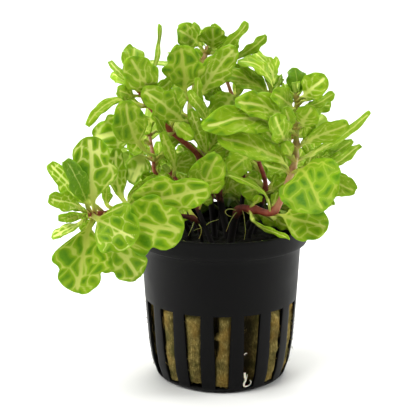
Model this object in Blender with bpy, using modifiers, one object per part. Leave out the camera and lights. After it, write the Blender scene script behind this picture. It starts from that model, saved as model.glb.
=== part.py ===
# Mexican oakleaf, a variegated water plant, growing in a slotted net pot of 5 cm.
# Lengths below are millimetres; mesh() and the curves scale them to metres. +Z is up,
# the origin is the middle of the pot's underside and -Y is the front.
import math

import bmesh
import bpy
from mathutils import Quaternion, Vector
from mathutils.bvhtree import BVHTree

mm = 0.001
smallGap = 0.3  # between neighbours that touch in the real plant

# the pot
potHeight = 50.0
potWall = 0.9
collarFoot = 44.0
slotCount = 16
slotTurn = 0.6  # degrees from the front to the first slot's middle
slotTop = 26.0
slotFoot = 1.4
slotWideTop = 5.6
slotWideFoot = 4.0
drainCount = 8
drainInner, drainOuter, drainWide = 7.0, 15.0, 2.6
potSides = 64
# outer face of the wall from the middle of the base to the lip: (radius, height)
potProfile = [
    (0.0, 0.0), (19.2, 0.0), (20.9, 1.5), (22.3, 5.6), (23.3, 12.0), (24.2, 24.0),
    (24.9, 36.0), (25.3, 43.6), (27.3, 44.4), (27.8, 50.0),
]

# the mineral wool that holds the roots
woolTop = 44.0
woolProfile = [(17.0, 1.3), (19.0, 3.2), (20.6, 7.0), (21.8, 13.0), (22.9, 24.0), (23.3, 43.0), (21.5, woolTop)]
woolSides = 40
woolGrooves = [(23.1, 3.0), (-66.9, 3.2)]  # open folds in its side: degrees from the front, radius
plantingDepth = 12.0

# stems and leaves
stemRadius = 0.7
petioleStart = 2.2  # from the stem's middle line to where a leaf leaves its clasp
claspRadial = 0.42  # half width and half height of the clasp that joins two leaves round the stem
claspAxial = 0.45
bladeThick = 0.55
petioleWide = 1.3
testMargin = 0.25  # room kept round a leaf while it looks for its place

# The plant is drawn on a front elevation through the pot's axis, as it is seen from eye.
# A depth moves a point along the line of sight, so the elevation keeps its outline.
eye = Vector((-4.1, -400.0, 150.0))

# Each shoot: where it enters the wool (x, y), then its nodes from the wool to the tip.
# A node is (x, z, depth), and where it bears leaves, its two leaves:
# (x, z, depth of the tip, width, turn from facing the eye in degrees, bow, sweep, stalk).
# Bow bends a leaf towards its face and sweep to its right as the eye sees it, as shares of its
# length; stalk is the share of the length before the blade starts. The last two may be left out.
shoots = {
    "left": {
        "root": (-6, -6),
        "nodes": [
            [(-9, 51, -12)],
            [(-22, 52, -18), (-20.5, 65, -12, 6.5, 40, 0.1), (-24, 45, -10, 6, 20, 0.1)],
            [(-30, 54, -20), (-3.5, 60.6, -26, 12.8, 0, 0.08), (-33, 73.5, -12, 8, 35, -0.12)],
            [(-34.5, 53.2, -22), (-12, 46.3, -32, 18.5, 0, 0.08), (-36.5, 62, -12, 4.5, 45, 0.1)],
            [(-38.5, 52.6, -25), (-26.3, 31.3, -27, 15.5, 5, 0.08), (-53.8, 68.8, -26, 8, 25, 0.1, -0.1)],
            [(-40.6, 52.4, -28), (-40.8, 77.3, -32, 15.5, 0, 0.06), (-46.3, 26.3, -33, 18, 0, 0.06)],
            [(-41.8, 52.2, -30.5), (-48.7, 69.8, -38, 7, 25, 0.08), (-26.8, 44, -38, 16.5, -5, 0.1)],
            [(-42.6, 52, -32.5), (-54.5, 57.5, -36, 6.5, 20, 0.1), (-53.8, 44.3, -36, 5, 50, 0.1)],
        ],
    },
    "upper_left": {
        "root": (-2, 3),
        "nodes": [
            [(-3.5, 58, 0)],
            [(-6.5, 70.3, -4), (-14.5, 72.5, 4, 7, 15, 0.1), (3, 77, -9, 4, 55, 0.1)],
            [(-16, 79.3, -6), (-8.5, 77, -12, 5, 10, 0.1, 0.04), (-21.5, 84.5, -15, 5, 45, 0.1)],
            [(-23.3, 88, -8), (-41.8, 80.6, -14, 3.6, 25, 0.1, 0.28, 0.3), (-14.5, 96, -6, 4.5, 20, 0.1)],
            [(-25, 91.3, -10), (-28, 102.2, -17, 11.3, 0, 0.08), (-32.3, 91.8, -20, 5.5, 10, 0.1)],
            [(-25.6, 93.8, -11), (-27, 105, 2, 9, 30, 0.1), (-18.7, 112, 0, 2.8, 55, 0.06)],
        ],
    },
    "centre": {
        "root": (2, 0),
        "nodes": [
            [(-1, 60, 2)],
            [(-5, 73, -1)],
            [(-9.3, 83, -7), (-24.6, 91.8, -14.5, 9.5, 5, 0.1, 0.06), (-7.2, 95.7, -12, 3.8, 35, 0.08, -0.12)],
            [(-9.2, 89.5, -5), (-12.5, 105.5, -8, 13.5, 0, 0.08, 0.05, 0.16), (4.4, 105, -8, 9.5, 10, 0.08, -0.09)],
            [(-5.5, 101, 3), (-15.5, 103.5, 0, 6.5, 30, 0.1), (7.9, 112.8, 0, 5.5, 50, 0.08)],
            [(-4.3, 104.3, 5), (-13.5, 110.7, -1, 9.5, 0, 0.1), (-2.5, 111.5, 0, 9.5, 0, 0.1)],
        ],
    },
    "top": {
        "root": (5, 7),
        "nodes": [
            [(7, 60, 9)],
            [(6, 76, 9)],
            [(3.3, 90, 7), (-8, 94.5, 3, 8, 20, 0.1), (-2.5, 80.5, -6, 11, 0, 0.08, 0, 0.1)],
            [(0.5, 98.5, 9)],
            [(2, 103, 9), (13.8, 108.8, 6, 5, 45, 0.08), (3, 98, 17, 5, 30, 0.1)],
        ],
    },
    "centre_right": {
        "root": (9, -1),
        "nodes": [
            [(14, 60.5, -2), (6.5, 59, -7, 8, 20, 0.1), (21.5, 60, 4, 9, 20, 0.1)],
            [(11.4, 71, -4), (2.3, 66, -12, 9, 15, 0.1), (18.5, 75, 4, 8, 20, 0.1)],
            [(11.7, 79, 0)],
            [(15, 88, 3), (-2, 97.3, -1, 8.5, 40, 0.08, 0.1), (8.5, 97.5, 8, 5, 20, 0.1)],
            [(16.7, 92, 3), (5, 101, 0, 7, 55, 0.2, 0.1), (9, 103.8, 9, 6.5, 50, 0.15, 0.1)],
        ],
    },
    "right": {
        "root": (3, -7),
        "nodes": [
            [(5.5, 53.5, -9)],
            [(10.5, 53.8, -12), (21.8, 44.5, -25, 2.8, 60, 0.12, 0.02), (12.3, 58.5, -16, 3, 30, 0.1)],
            [(17, 53.6, -14), (34, 48, -17, 12.5, 10, 0.08), (1.3, 64.8, -17, 5, 70, 0.15)],
            [(22.5, 67, -13.8), (32.6, 53.4, -30, 20, 0, 0.08), (-1, 77.3, -20, 8.5, 25, 0.1)],
            [(23.3, 70.8, -12), (12.5, 80.5, -8, 8.5, 25, 0.1), (46.5, 84.8, -3, 4, 40, 0.05)],
            [(23.5, 75, -11), (-6, 80.3, -21, 10.5, 25, 0.1, 0.16), (39.8, 81.3, -12, 7, 20, 0.08, -0.04)],
            [(23.5, 81, -10), (4.3, 88.3, -15, 9.5, 30, 0.12, 0.05), (28, 87, -15, 8, 10, 0.1, 0, 0.08)],
            [(23.5, 86, -9), (35, 91, -12, 5, 50, 0.08), (16, 91, -18, 8, 30, 0.1)],
            [(23.3, 89.7, -8.5), (32.5, 96, -14, 8.5, 0, 0.1), (22.8, 98.9, -2, 7, 20, 0.1)],
        ],
    },
    "right_back": {
        "root": (11, 6),
        "nodes": [
            [(17, 56, 8)],
            [(24, 62.5, 8), (33, 54, 20, 11, 20, 0.1), (13, 68, 18, 11, 20, 0.1)],
            [(29, 67, 6), (42.5, 60, 4, 8.5, 20, 0.1), (40.9, 76.3, 8, 7, 40, 0.06)],
            [(30.5, 69.3, 5.5), (43.5, 74.8, 1, 5, 50, 0.06), (28.5, 77.5, 12, 6, 30, 0.1)],
        ],
    },
    "left_middle": {
        "root": (-10, 1),
        "nodes": [
            [(-15, 56, -3)],
            [(-20.5, 65, -5)],
            [(-21.3, 71, -6), (-29.3, 88.5, -17, 11, 0, 0.05, -0.2, 0.45), (-28, 62, -11, 8, 0, 0.1)],
            [(-22.5, 79, -2), (-40, 77, -4, 12, 10, 0.1), (-14, 83, 9, 9, 30, 0.1)],
        ],
    },
    "front_left": {
        "root": (-3, -10),
        "nodes": [
            [(-9, 57, -9), (-1, 71.8, -19, 11.5, 0, 0.08), (-14, 50, -3, 8, 20, 0.1)],
            [(-16, 65.8, -10), (-18.5, 78.7, -13, 3.8, 10, 0.06), (-8.5, 71, -3, 8, 30, 0.1)],
        ],
    },
    "back_left": {
        "root": (-8, 10),
        "nodes": [
            [(-14, 56, 14), (-28, 58, 22, 12, 160, 0.1), (-5, 60, 26, 12, 160, 0.1)],
            [(-21, 66, 19), (-34, 70, 18, 12, 150, 0.1), (-12, 67, 34, 12, 150, 0.1)],
            [(-26, 73, 23), (-38, 69, 33, 11, 150, 0.1), (-20, 88, 26, 11, 150, 0.1)],
        ],
    },
    "back": {
        "root": (0, 12),
        "nodes": [
            [(0, 58, 18), (-12, 64, 29, 13, 160, 0.1), (12, 62, 30, 13, 160, 0.1)],
            [(1, 67, 24), (0, 57, 41, 14, 160, 0.1), (3, 84, 20, 13, 160, 0.1)],
            [(3, 77, 28), (-8, 79, 33, 11, 150, 0.1), (14, 84, 34, 11, 150, 0.1)],
        ],
    },
    "back_right": {
        "root": (9, 12),
        "nodes": [
            [(15, 58, 17), (28, 54, 27, 12, 160, 0.1), (5, 64, 32, 10, 160, 0.1)],
            [(20, 70, 22), (34, 72, 24, 12, 160, 0.1), (9, 74, 36, 11, 160, 0.1)],
            [(22, 78, 25), (32, 84, 33, 10, 150, 0.1), (13, 91, 24, 10, 150, 0.1)],
        ],
    },
}

# what a leaf may change to keep clear of its neighbours: (depth, turn, bow), tried in this order
adjustments = [(0, 0, 0)]
for step in (1.5, 3.0, 4.5, 6.0, 8.0, 10.0):
    adjustments += [(-step, 0, 0), (step, 0, 0), (-step, 6 * step, 0), (step, -6 * step, 0)]
    adjustments += [(-step, -6 * step, 0.05), (step, 6 * step, 0.05), (-step, 0, -0.1), (step, 0, -0.1)]

# outline of a blade, lobed twice a side: (share of its length, share of the half width)
bladeOutline = [(0.0, 0.0), (0.07, 0.12), (0.14, 0.28), (0.3, 0.68), (0.43, 0.96), (0.52, 0.86), (0.66, 1.0), (0.78, 0.86), (0.91, 0.6), (1.0, 0.16)]


def seen(x, z, depth):
    """The point at that depth which lies over (x, z) of the front elevation."""
    reach = (depth - eye.y) / -eye.y
    return Vector((eye.x + (x - eye.x) * reach, depth, eye.z + (z - eye.z) * reach))


def mesh(name, points, faces):
    data = bpy.data.meshes.new(name)
    data.from_pydata([Vector(p) * mm for p in points], [], faces)
    built = bmesh.new()
    built.from_mesh(data)
    bmesh.ops.recalc_face_normals(built, faces=built.faces)
    built.to_mesh(data)
    built.free()
    return data


def place(name, data, material, home):
    item = bpy.data.objects.new(name, data)
    home.objects.link(item)
    data.materials.append(material)
    return item


def finish(name, colour, roughness):
    material = bpy.data.materials.new(name)
    material.use_nodes = True
    shader = material.node_tree.nodes["Principled BSDF"]
    shader.inputs["Base Color"].default_value = (*colour, 1.0)
    shader.inputs["Roughness"].default_value = roughness
    return material


def startEmpty():
    for item in list(bpy.data.objects):
        bpy.data.objects.remove(item)


def collection(name):
    home = bpy.data.collections.new(name)
    bpy.context.scene.collection.children.link(home)
    return home


def helper(item):
    item.hide_render = True
    item.display_type = "WIRE"
    return item


def turned(name, profile, sides):
    """A profile of (radius, height) points turned round Z, listed from the axis outwards and up."""
    outline = bpy.data.meshes.new(name)
    points = [(r * mm, 0.0, z * mm) for r, z in reversed(profile)]
    outline.from_pydata(points, [(i, i + 1) for i in range(len(points) - 1)], [])
    return outline, sides


def addScrew(item, sides):
    screw = item.modifiers.new("Turn", "SCREW")
    screw.steps = screw.render_steps = sides
    screw.use_merge_vertices = True
    screw.merge_threshold = 0.00001
    return screw


def subtract(item, cutter):
    cut = item.modifiers.new("Cut", "BOOLEAN")
    cut.operation = "DIFFERENCE"
    cut.object = cutter


def around(degrees, radius, z):
    """A point on a circle round Z, counted from the front towards +X."""
    a = math.radians(degrees)
    return Vector((radius * math.sin(a), -radius * math.cos(a), z))


def slotCutter():
    """One wedge per side slot and one block per drain, all in one cutter."""
    cutter = bmesh.new()
    for i in range(slotCount):
        made = bmesh.ops.create_cube(cutter, size=1.0)["verts"]
        turn = slotTurn + i * 360.0 / slotCount
        side = around(turn + 90, 1.0, 0)
        for v in made:
            top = v.co.z > 0
            z = slotTop if top else slotFoot
            radius = 30.0 if v.co.y > 0 else 17.0
            half = (slotWideTop if top else slotWideFoot) / 2
            v.co = (around(turn, radius, z) + side * (half if v.co.x > 0 else -half)) * mm
    for i in range(drainCount):
        made = bmesh.ops.create_cube(cutter, size=1.0)["verts"]
        turn = slotTurn + i * 360.0 / drainCount
        side = around(turn + 90, 1.0, 0)
        for v in made:
            radius = drainOuter if v.co.y > 0 else drainInner
            z = 2.0 if v.co.z > 0 else -1.0
            v.co = (around(turn, radius, z) + side * (drainWide / 2 if v.co.x > 0 else -drainWide / 2)) * mm
    bmesh.ops.recalc_face_normals(cutter, faces=cutter.faces)
    data = bpy.data.meshes.new("slot_cutter")
    cutter.to_mesh(data)
    cutter.free()
    return data


def makePot(home, tools, material):
    outline, sides = turned("net_pot", potProfile, potSides)
    pot = place("net_pot", outline, material, home)
    addScrew(pot, sides)
    wall = pot.modifiers.new("Wall", "SOLIDIFY")
    wall.thickness = potWall * mm
    wall.offset = -1.0
    wall.use_even_offset = True
    cutter = helper(place("slot_cutter", slotCutter(), material, tools))
    subtract(pot, cutter)
    return pot


def makeWool(home, tools, material, stems):
    """The plug, with its two side folds and a planting hole for each stem."""
    closed = [(0.0, woolProfile[0][1])] + woolProfile + [(0.0, woolTop)]
    outline, sides = turned("rockwool_plug", closed, woolSides)
    wool = place("rockwool_plug", outline, material, home)
    addScrew(wool, sides)
    for number, (turn, radius) in enumerate(woolGrooves):
        cutter = bmesh.new()
        bmesh.ops.create_cone(
            cutter, cap_ends=True, segments=10, radius1=radius * mm, radius2=radius * mm, depth=26 * mm
        )
        middle = around(turn, 23.6, 14.0) * mm
        bmesh.ops.translate(cutter, verts=cutter.verts, vec=middle)
        data = bpy.data.meshes.new(f"fold_cutter_{number}")
        cutter.to_mesh(data)
        cutter.free()
        subtract(wool, helper(place(data.name, data, material, tools)))
    for name, path in stems.items():
        deeper = path[0] - Vector((0, 0, smallGap))
        points, faces = tube([deeper] + path[1:4], stemRadius + smallGap, 8)
        data = mesh(f"hole_cutter_{name}", points, faces)
        subtract(wool, helper(place(data.name, data, material, tools)))
    return wool


def smooth(points, steps):
    """Catmull-Rom through the points."""
    ends = [2 * points[0] - points[1]] + points + [2 * points[-1] - points[-2]]
    path = [points[0].copy()]
    for i in range(len(points) - 1):
        a, b, c, d = ends[i : i + 4]
        for k in range(1, steps + 1):
            t = k / steps
            path.append(
                0.5 * (2 * b + (c - a) * t + (2 * a - 5 * b + 4 * c - d) * t * t + (3 * b - a - 3 * c + d) * t**3)
            )
    return path


def stemPath(shoot):
    """From the foot in the wool to just past the last node."""
    x, y = shoot["root"]
    nodes = [seen(*node[0]) for node in shoot["nodes"]]
    mouth = Vector((x, y, woolTop))
    foot = mouth - Vector((0, 0, plantingDepth))
    tip = nodes[-1] + (nodes[-1] - nodes[-2]).normalized() * 1.2
    above = smooth([mouth + Vector((0, 0, 2.0))] + nodes + [tip], 3)
    return [foot, mouth - Vector((0, 0, 1.0)), mouth + Vector((0, 0, 0.5))] + above


def direction(path, point):
    """The stem's direction at the place nearest to a point."""
    near = min(range(len(path)), key=lambda i: (path[i] - point).length)
    return (path[min(near + 1, len(path) - 1)] - path[max(near - 1, 0)]).normalized()


def square(vector, axis):
    """The part of a vector at right angles to an axis, as a unit vector."""
    return (vector - axis * vector.dot(axis)).normalized()


def tube(path, radius, sides):
    """Points and faces of a capped round tube along a path."""
    points, faces = [], []
    side = square(Vector((0.3, 1, 0.2)), (path[1] - path[0]).normalized())
    for i, centre in enumerate(path):
        along = (path[min(i + 1, len(path) - 1)] - path[max(i - 1, 0)]).normalized()
        side = square(side, along)
        other = along.cross(side)
        for k in range(sides):
            a = 2 * math.pi * k / sides
            points.append(centre + (side * math.cos(a) + other * math.sin(a)) * radius)
    for i in range(len(path) - 1):
        for k in range(sides):
            j = (k + 1) % sides
            faces.append((i * sides + k, i * sides + j, (i + 1) * sides + j, (i + 1) * sides + k))
    faces.append(tuple(range(sides))[::-1])
    faces.append(tuple((len(path) - 1) * sides + k for k in range(sides)))
    return points, faces


def baseDirections(node, along, tips):
    """The way that each of two leaves leaves the stem: towards its tip, and well apart from the other."""
    first, second = (square(tip - node, along) for tip in tips)
    angle = math.atan2(along.dot(first.cross(second)), first.dot(second))
    least = math.radians(110)
    if abs(angle) < least:
        apart = (least - abs(angle)) / 2 * (1 if angle >= 0 else -1)
        first = Quaternion(along, -apart) @ first
        second = Quaternion(along, apart) @ second
    return first, second


def heading(handles, t):
    """The direction of a Bezier curve at a share of its length."""
    u = 1 - t
    slope = (handles[1] - handles[0]) * u * u + (handles[2] - handles[1]) * 2 * u * t + (handles[3] - handles[2]) * t * t
    return slope.normalized()


def facing(handles, along, face, full, share):
    """A leaf's direction and normal: the stem's direction at its base, turned round to its face by full."""
    way = heading(handles, share)
    if share >= full:
        return way, square(face, way)
    first, last = heading(handles, 0), heading(handles, full)
    carried, end = first.rotation_difference(last) @ square(along, first), square(face, last)
    angle = math.atan2(last.dot(carried.cross(end)), carried.dot(end))
    k = share / full
    return way, Quaternion(way, angle * k * k * (3 - 2 * k)) @ first.rotation_difference(way) @ square(along, first)


def leafSections(node, along, out, leaf, change):
    """Cross-sections of a leaf from base to tip: (centre, side, normal, half width, half thickness)."""
    x, z, depth, width, turn, bow, sweep, stalk = (*leaf, *(0.0, 0.14)[len(leaf) - 6 :])
    more, spin, lift = change
    tip = seen(x, z, depth + more)
    base = node + out * petioleStart
    chord = tip - base
    length = chord.length
    line = chord.normalized()
    face = square(eye - (base + tip) / 2, line)
    face = Quaternion(line, math.radians(turn + spin)) @ face
    rise = face * ((bow + lift) * length)
    aside = line.cross(square(eye - base, line)) * sweep * length
    handles = [
        base,
        base + (out * 0.8 + along * 0.5).normalized() * length * 0.25 + rise * 0.5 + aside,
        tip - line * length * 0.4 + rise * 1.3 + aside,
        tip,
    ]
    sections = []
    blade = [(stalk + (1 - stalk) * part, wide) for part, wide in bladeOutline]
    for share, wide in [(0.0, 0.0), (stalk * 0.35, 0.0), (stalk * 0.7, 0.0)] + blade:
        t, u = share, 1 - share
        centre = handles[0] * u**3 + handles[1] * 3 * u * u * t + handles[2] * 3 * u * t * t + handles[3] * t**3
        way, normal = facing(handles, along, face, stalk + 0.26, share)
        half = petioleWide / 2 + (width - petioleWide) / 2 * wide
        sections.append((centre, way.cross(normal), normal, half, bladeThick / 2))
    return sections


def loft(sections, margin=0.0):
    """A closed strip of diamond sections, folded up a little along its middle line.

    Each side is cut into the same triangles above and below, so that a twisted blade keeps its thickness.
    """
    points, faces = [], []
    for centre, side, normal, half, thick in sections:
        fold = normal * max(0.0, half - 1.0) * 0.18
        points += [
            centre + side * (half + margin) + fold,
            centre + normal * (thick + margin),
            centre - side * (half + margin) + fold,
            centre - normal * (thick + margin),
        ]
    for i in range(0, 4 * (len(sections) - 1), 4):
        a, b, c, d, e, f, g, h = range(i, i + 8)
        faces += [(a, b, f), (a, f, e), (b, c, f), (c, g, f), (c, d, h), (c, h, g), (d, a, h), (a, e, h)]
    last = 4 * (len(sections) - 1)
    faces += [(3, 2, 1, 0), (last, last + 1, last + 2, last + 3)]
    return points, faces


def clasp(node, along, first, second):
    """Sections that lead round the stem from one leaf's base to the other's."""
    angle = math.atan2(along.dot(first.cross(second)), first.dot(second))
    radius = stemRadius + smallGap + claspRadial
    stations = [(0.10, radius + 0.26)]
    turns = max(2, round(abs(angle) / math.radians(36)))
    stations += [(0.22 + 0.56 * i / turns, radius) for i in range(turns + 1)]
    stations += [(0.90, radius + 0.26)]
    centres = [node + (Quaternion(along, angle * share) @ first) * r for share, r in stations]
    sections = []
    for i, centre in enumerate(centres):
        before = centres[i - 1] if i else node + first * petioleStart
        after = centres[i + 1] if i + 1 < len(centres) else node + second * petioleStart
        way = square(after - before, along)
        sections.append((centre, way.cross(along), along, claspRadial, claspAxial))
    return sections


def obstacles(stems):
    """The pot, the wool's top and the stems, which leaves keep clear of."""
    found = []
    outside = [(r + 0.4, z + 0.4) for r, z in potProfile[2:]]
    inside = [(r - potWall - 0.4, z + 0.4) for r, z in reversed(potProfile[4:])]
    ring = outside + inside + [(0.0, woolTop + 0.4)]
    sides = 48
    points = [around(360.0 * k / sides, r, z) for r, z in ring for k in range(sides)]
    faces = [
        (i * sides + k, i * sides + (k + 1) % sides, (i + 1) * sides + (k + 1) % sides, (i + 1) * sides + k)
        for i in range(len(ring) - 1)
        for k in range(sides)
    ]
    found.append(BVHTree.FromPolygons(points, faces))
    for path in stems.values():
        found.append(BVHTree.FromPolygons(*tube(path[3:], stemRadius + 0.15, 6)))
    return found


def growLeaf(node, along, out, leaf, taken):
    """The first of the adjustments that leaves the leaf clear of everything already there."""
    best = None
    for change in adjustments:
        sections = leafSections(node, along, out, leaf, change)
        tree = BVHTree.FromPolygons(*loft(sections, testMargin))
        hits = sum(len(tree.overlap(other)) for other in taken)
        if best is None or hits < best[0]:
            best = (hits, sections, change)
        if hits == 0:
            break
    hits, sections, change = best
    if hits:
        print("still touching:", leaf, "by", hits)
    taken.append(BVHTree.FromPolygons(*loft(sections)))
    return sections


def makeLeaves(home, material, stems):
    taken = obstacles(stems)
    for name, shoot in shoots.items():
        for number, (place3, *leaves) in enumerate(shoot["nodes"], 1):
            if not leaves:
                continue
            node = seen(*place3)
            along = direction(stems[name], node)
            outs = baseDirections(node, along, [seen(*leaf[:3]) for leaf in leaves])
            grown = [growLeaf(node, along, out, leaf, taken) for out, leaf in zip(outs, leaves)]
            back = [(c, -s, n, h, t) for c, s, n, h, t in reversed(grown[0])]
            strip = back + clasp(node, along, *outs) + grown[1]
            title = f"{name}_leaves_{number}"
            place(title, mesh(title, *loft(strip)), material, home)


def makeStems(home, material):
    stems = {name: stemPath(shoot) for name, shoot in shoots.items()}
    for name, path in stems.items():
        curve = bpy.data.curves.new(f"{name}_stem", "CURVE")
        curve.dimensions = "3D"
        curve.bevel_depth = stemRadius * mm
        curve.bevel_resolution = 1
        curve.use_fill_caps = True
        line = curve.splines.new("POLY")
        line.points.add(len(path) - 1)
        for point, where in zip(line.points, path):
            point.co = (*(where * mm), 1.0)
        place(f"{name}_stem", curve, material, home)
    return stems


def main():
    startEmpty()
    home = collection("potted_oakleaf")
    tools = collection("cutters")
    black = finish("black polypropylene", (0.012, 0.012, 0.014), 0.4)
    wool = finish("mineral wool", (0.16, 0.13, 0.035), 0.95)
    bark = finish("red stem", (0.22, 0.05, 0.025), 0.5)
    green = finish("variegated leaf", (0.25, 0.47, 0.03), 0.5)
    makePot(home, tools, black)
    stems = makeStems(home, bark)
    makeWool(home, tools, wool, stems)
    makeLeaves(home, green, stems)


main()
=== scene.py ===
import math
import bmesh
import bpy
import numpy as np
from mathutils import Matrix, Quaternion, Vector, noise
from mathutils.bvhtree import BVHTree


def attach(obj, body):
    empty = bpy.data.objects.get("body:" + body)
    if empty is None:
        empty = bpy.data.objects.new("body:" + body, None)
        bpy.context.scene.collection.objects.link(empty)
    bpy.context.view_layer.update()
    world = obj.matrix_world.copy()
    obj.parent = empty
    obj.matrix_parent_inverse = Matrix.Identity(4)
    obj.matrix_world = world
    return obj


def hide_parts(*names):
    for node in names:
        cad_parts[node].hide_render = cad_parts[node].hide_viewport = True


# A variegated Mexican oakleaf in a slotted 5 cm net pot: the finish of every surface.
# Lengths are millimetres until a mesh is made; -Y is the front.
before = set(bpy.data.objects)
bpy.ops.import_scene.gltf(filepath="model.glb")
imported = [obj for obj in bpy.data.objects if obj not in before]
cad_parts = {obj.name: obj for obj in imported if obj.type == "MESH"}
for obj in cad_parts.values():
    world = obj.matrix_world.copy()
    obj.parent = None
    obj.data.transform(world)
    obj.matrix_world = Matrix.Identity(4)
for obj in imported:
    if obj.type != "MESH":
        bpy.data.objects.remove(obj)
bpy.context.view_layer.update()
print("frame loaded:", len(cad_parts), "solids")
mm = 0.001


def tint(code):  # sRGB hex to linear
    parts = [int(code[i : i + 2], 16) / 255 for i in (1, 3, 5)]
    return (*[c / 12.92 if c <= 0.04045 else ((c + 0.055) / 1.055) ** 2.4 for c in parts], 1.0)


def addNode(tree, kind, settings=(), **feeds):  # feeds: in0=..., in1=... by socket number
    node = tree.nodes.new(kind)
    for name, value in dict(settings).items():
        setattr(node, name, value)
    for place, value in feeds.items():
        socket = node.inputs[int(place[2:])]
        if isinstance(value, bpy.types.NodeSocket):
            tree.links.new(value, socket)
        else:
            socket.default_value = value
    return node


def newMaterial(name, finish):  # finish: what is the same all over the surface, by the shader's sockets
    material = bpy.data.materials.new(name)
    material.use_nodes = True
    skin = material.node_tree.nodes["Principled BSDF"]
    for socket, value in finish.items():
        skin.inputs[socket].default_value = value
    return material, material.node_tree, skin


def shapeOf(thing):  # what an object's modifiers make of it, as a plain mesh
    return bpy.data.meshes.new_from_object(thing.evaluated_get(bpy.context.evaluated_depsgraph_get()))


def addFloats(data, columns):  # one number a point, for the materials and trees to read
    for title, values in columns.items():
        made = data.attributes.new(title, "FLOAT", "POINT")
        made.data.foreach_set("value", np.asarray(values, np.float32))


# How the plant grows. The rules are those of the solids, so that each fine leaf lies on its plain one.
stemRadius = 0.7
petioleStart = 2.2  # from the stem's middle line to where a leaf begins
petioleWide = 1.3
bladeThick = 0.55  # of the plain leaves, which are only tried for room
testMargin = 0.25  # the room that a leaf keeps around it
leastApart = 110  # degrees between the two leaves of a pair
foldStart, foldSlope = 1.0, 0.18  # a blade's sides rise from this far off the midrib, by this much
woolTop = 44.0
plantingDepth = 12.0
potWall = 0.9
eye = Vector((-4.1, -400.0, 150.0))  # where the camera stands

# the pot's outer face from the middle of its base to its lip: (radius, height)
potProfile = [
    (0.0, 0.0), (19.2, 0.0), (20.9, 1.5), (22.3, 5.6), (23.3, 12.0), (24.2, 24.0),
    (24.9, 36.0), (25.3, 43.6), (27.3, 44.4), (27.8, 50.0),
]

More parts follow.
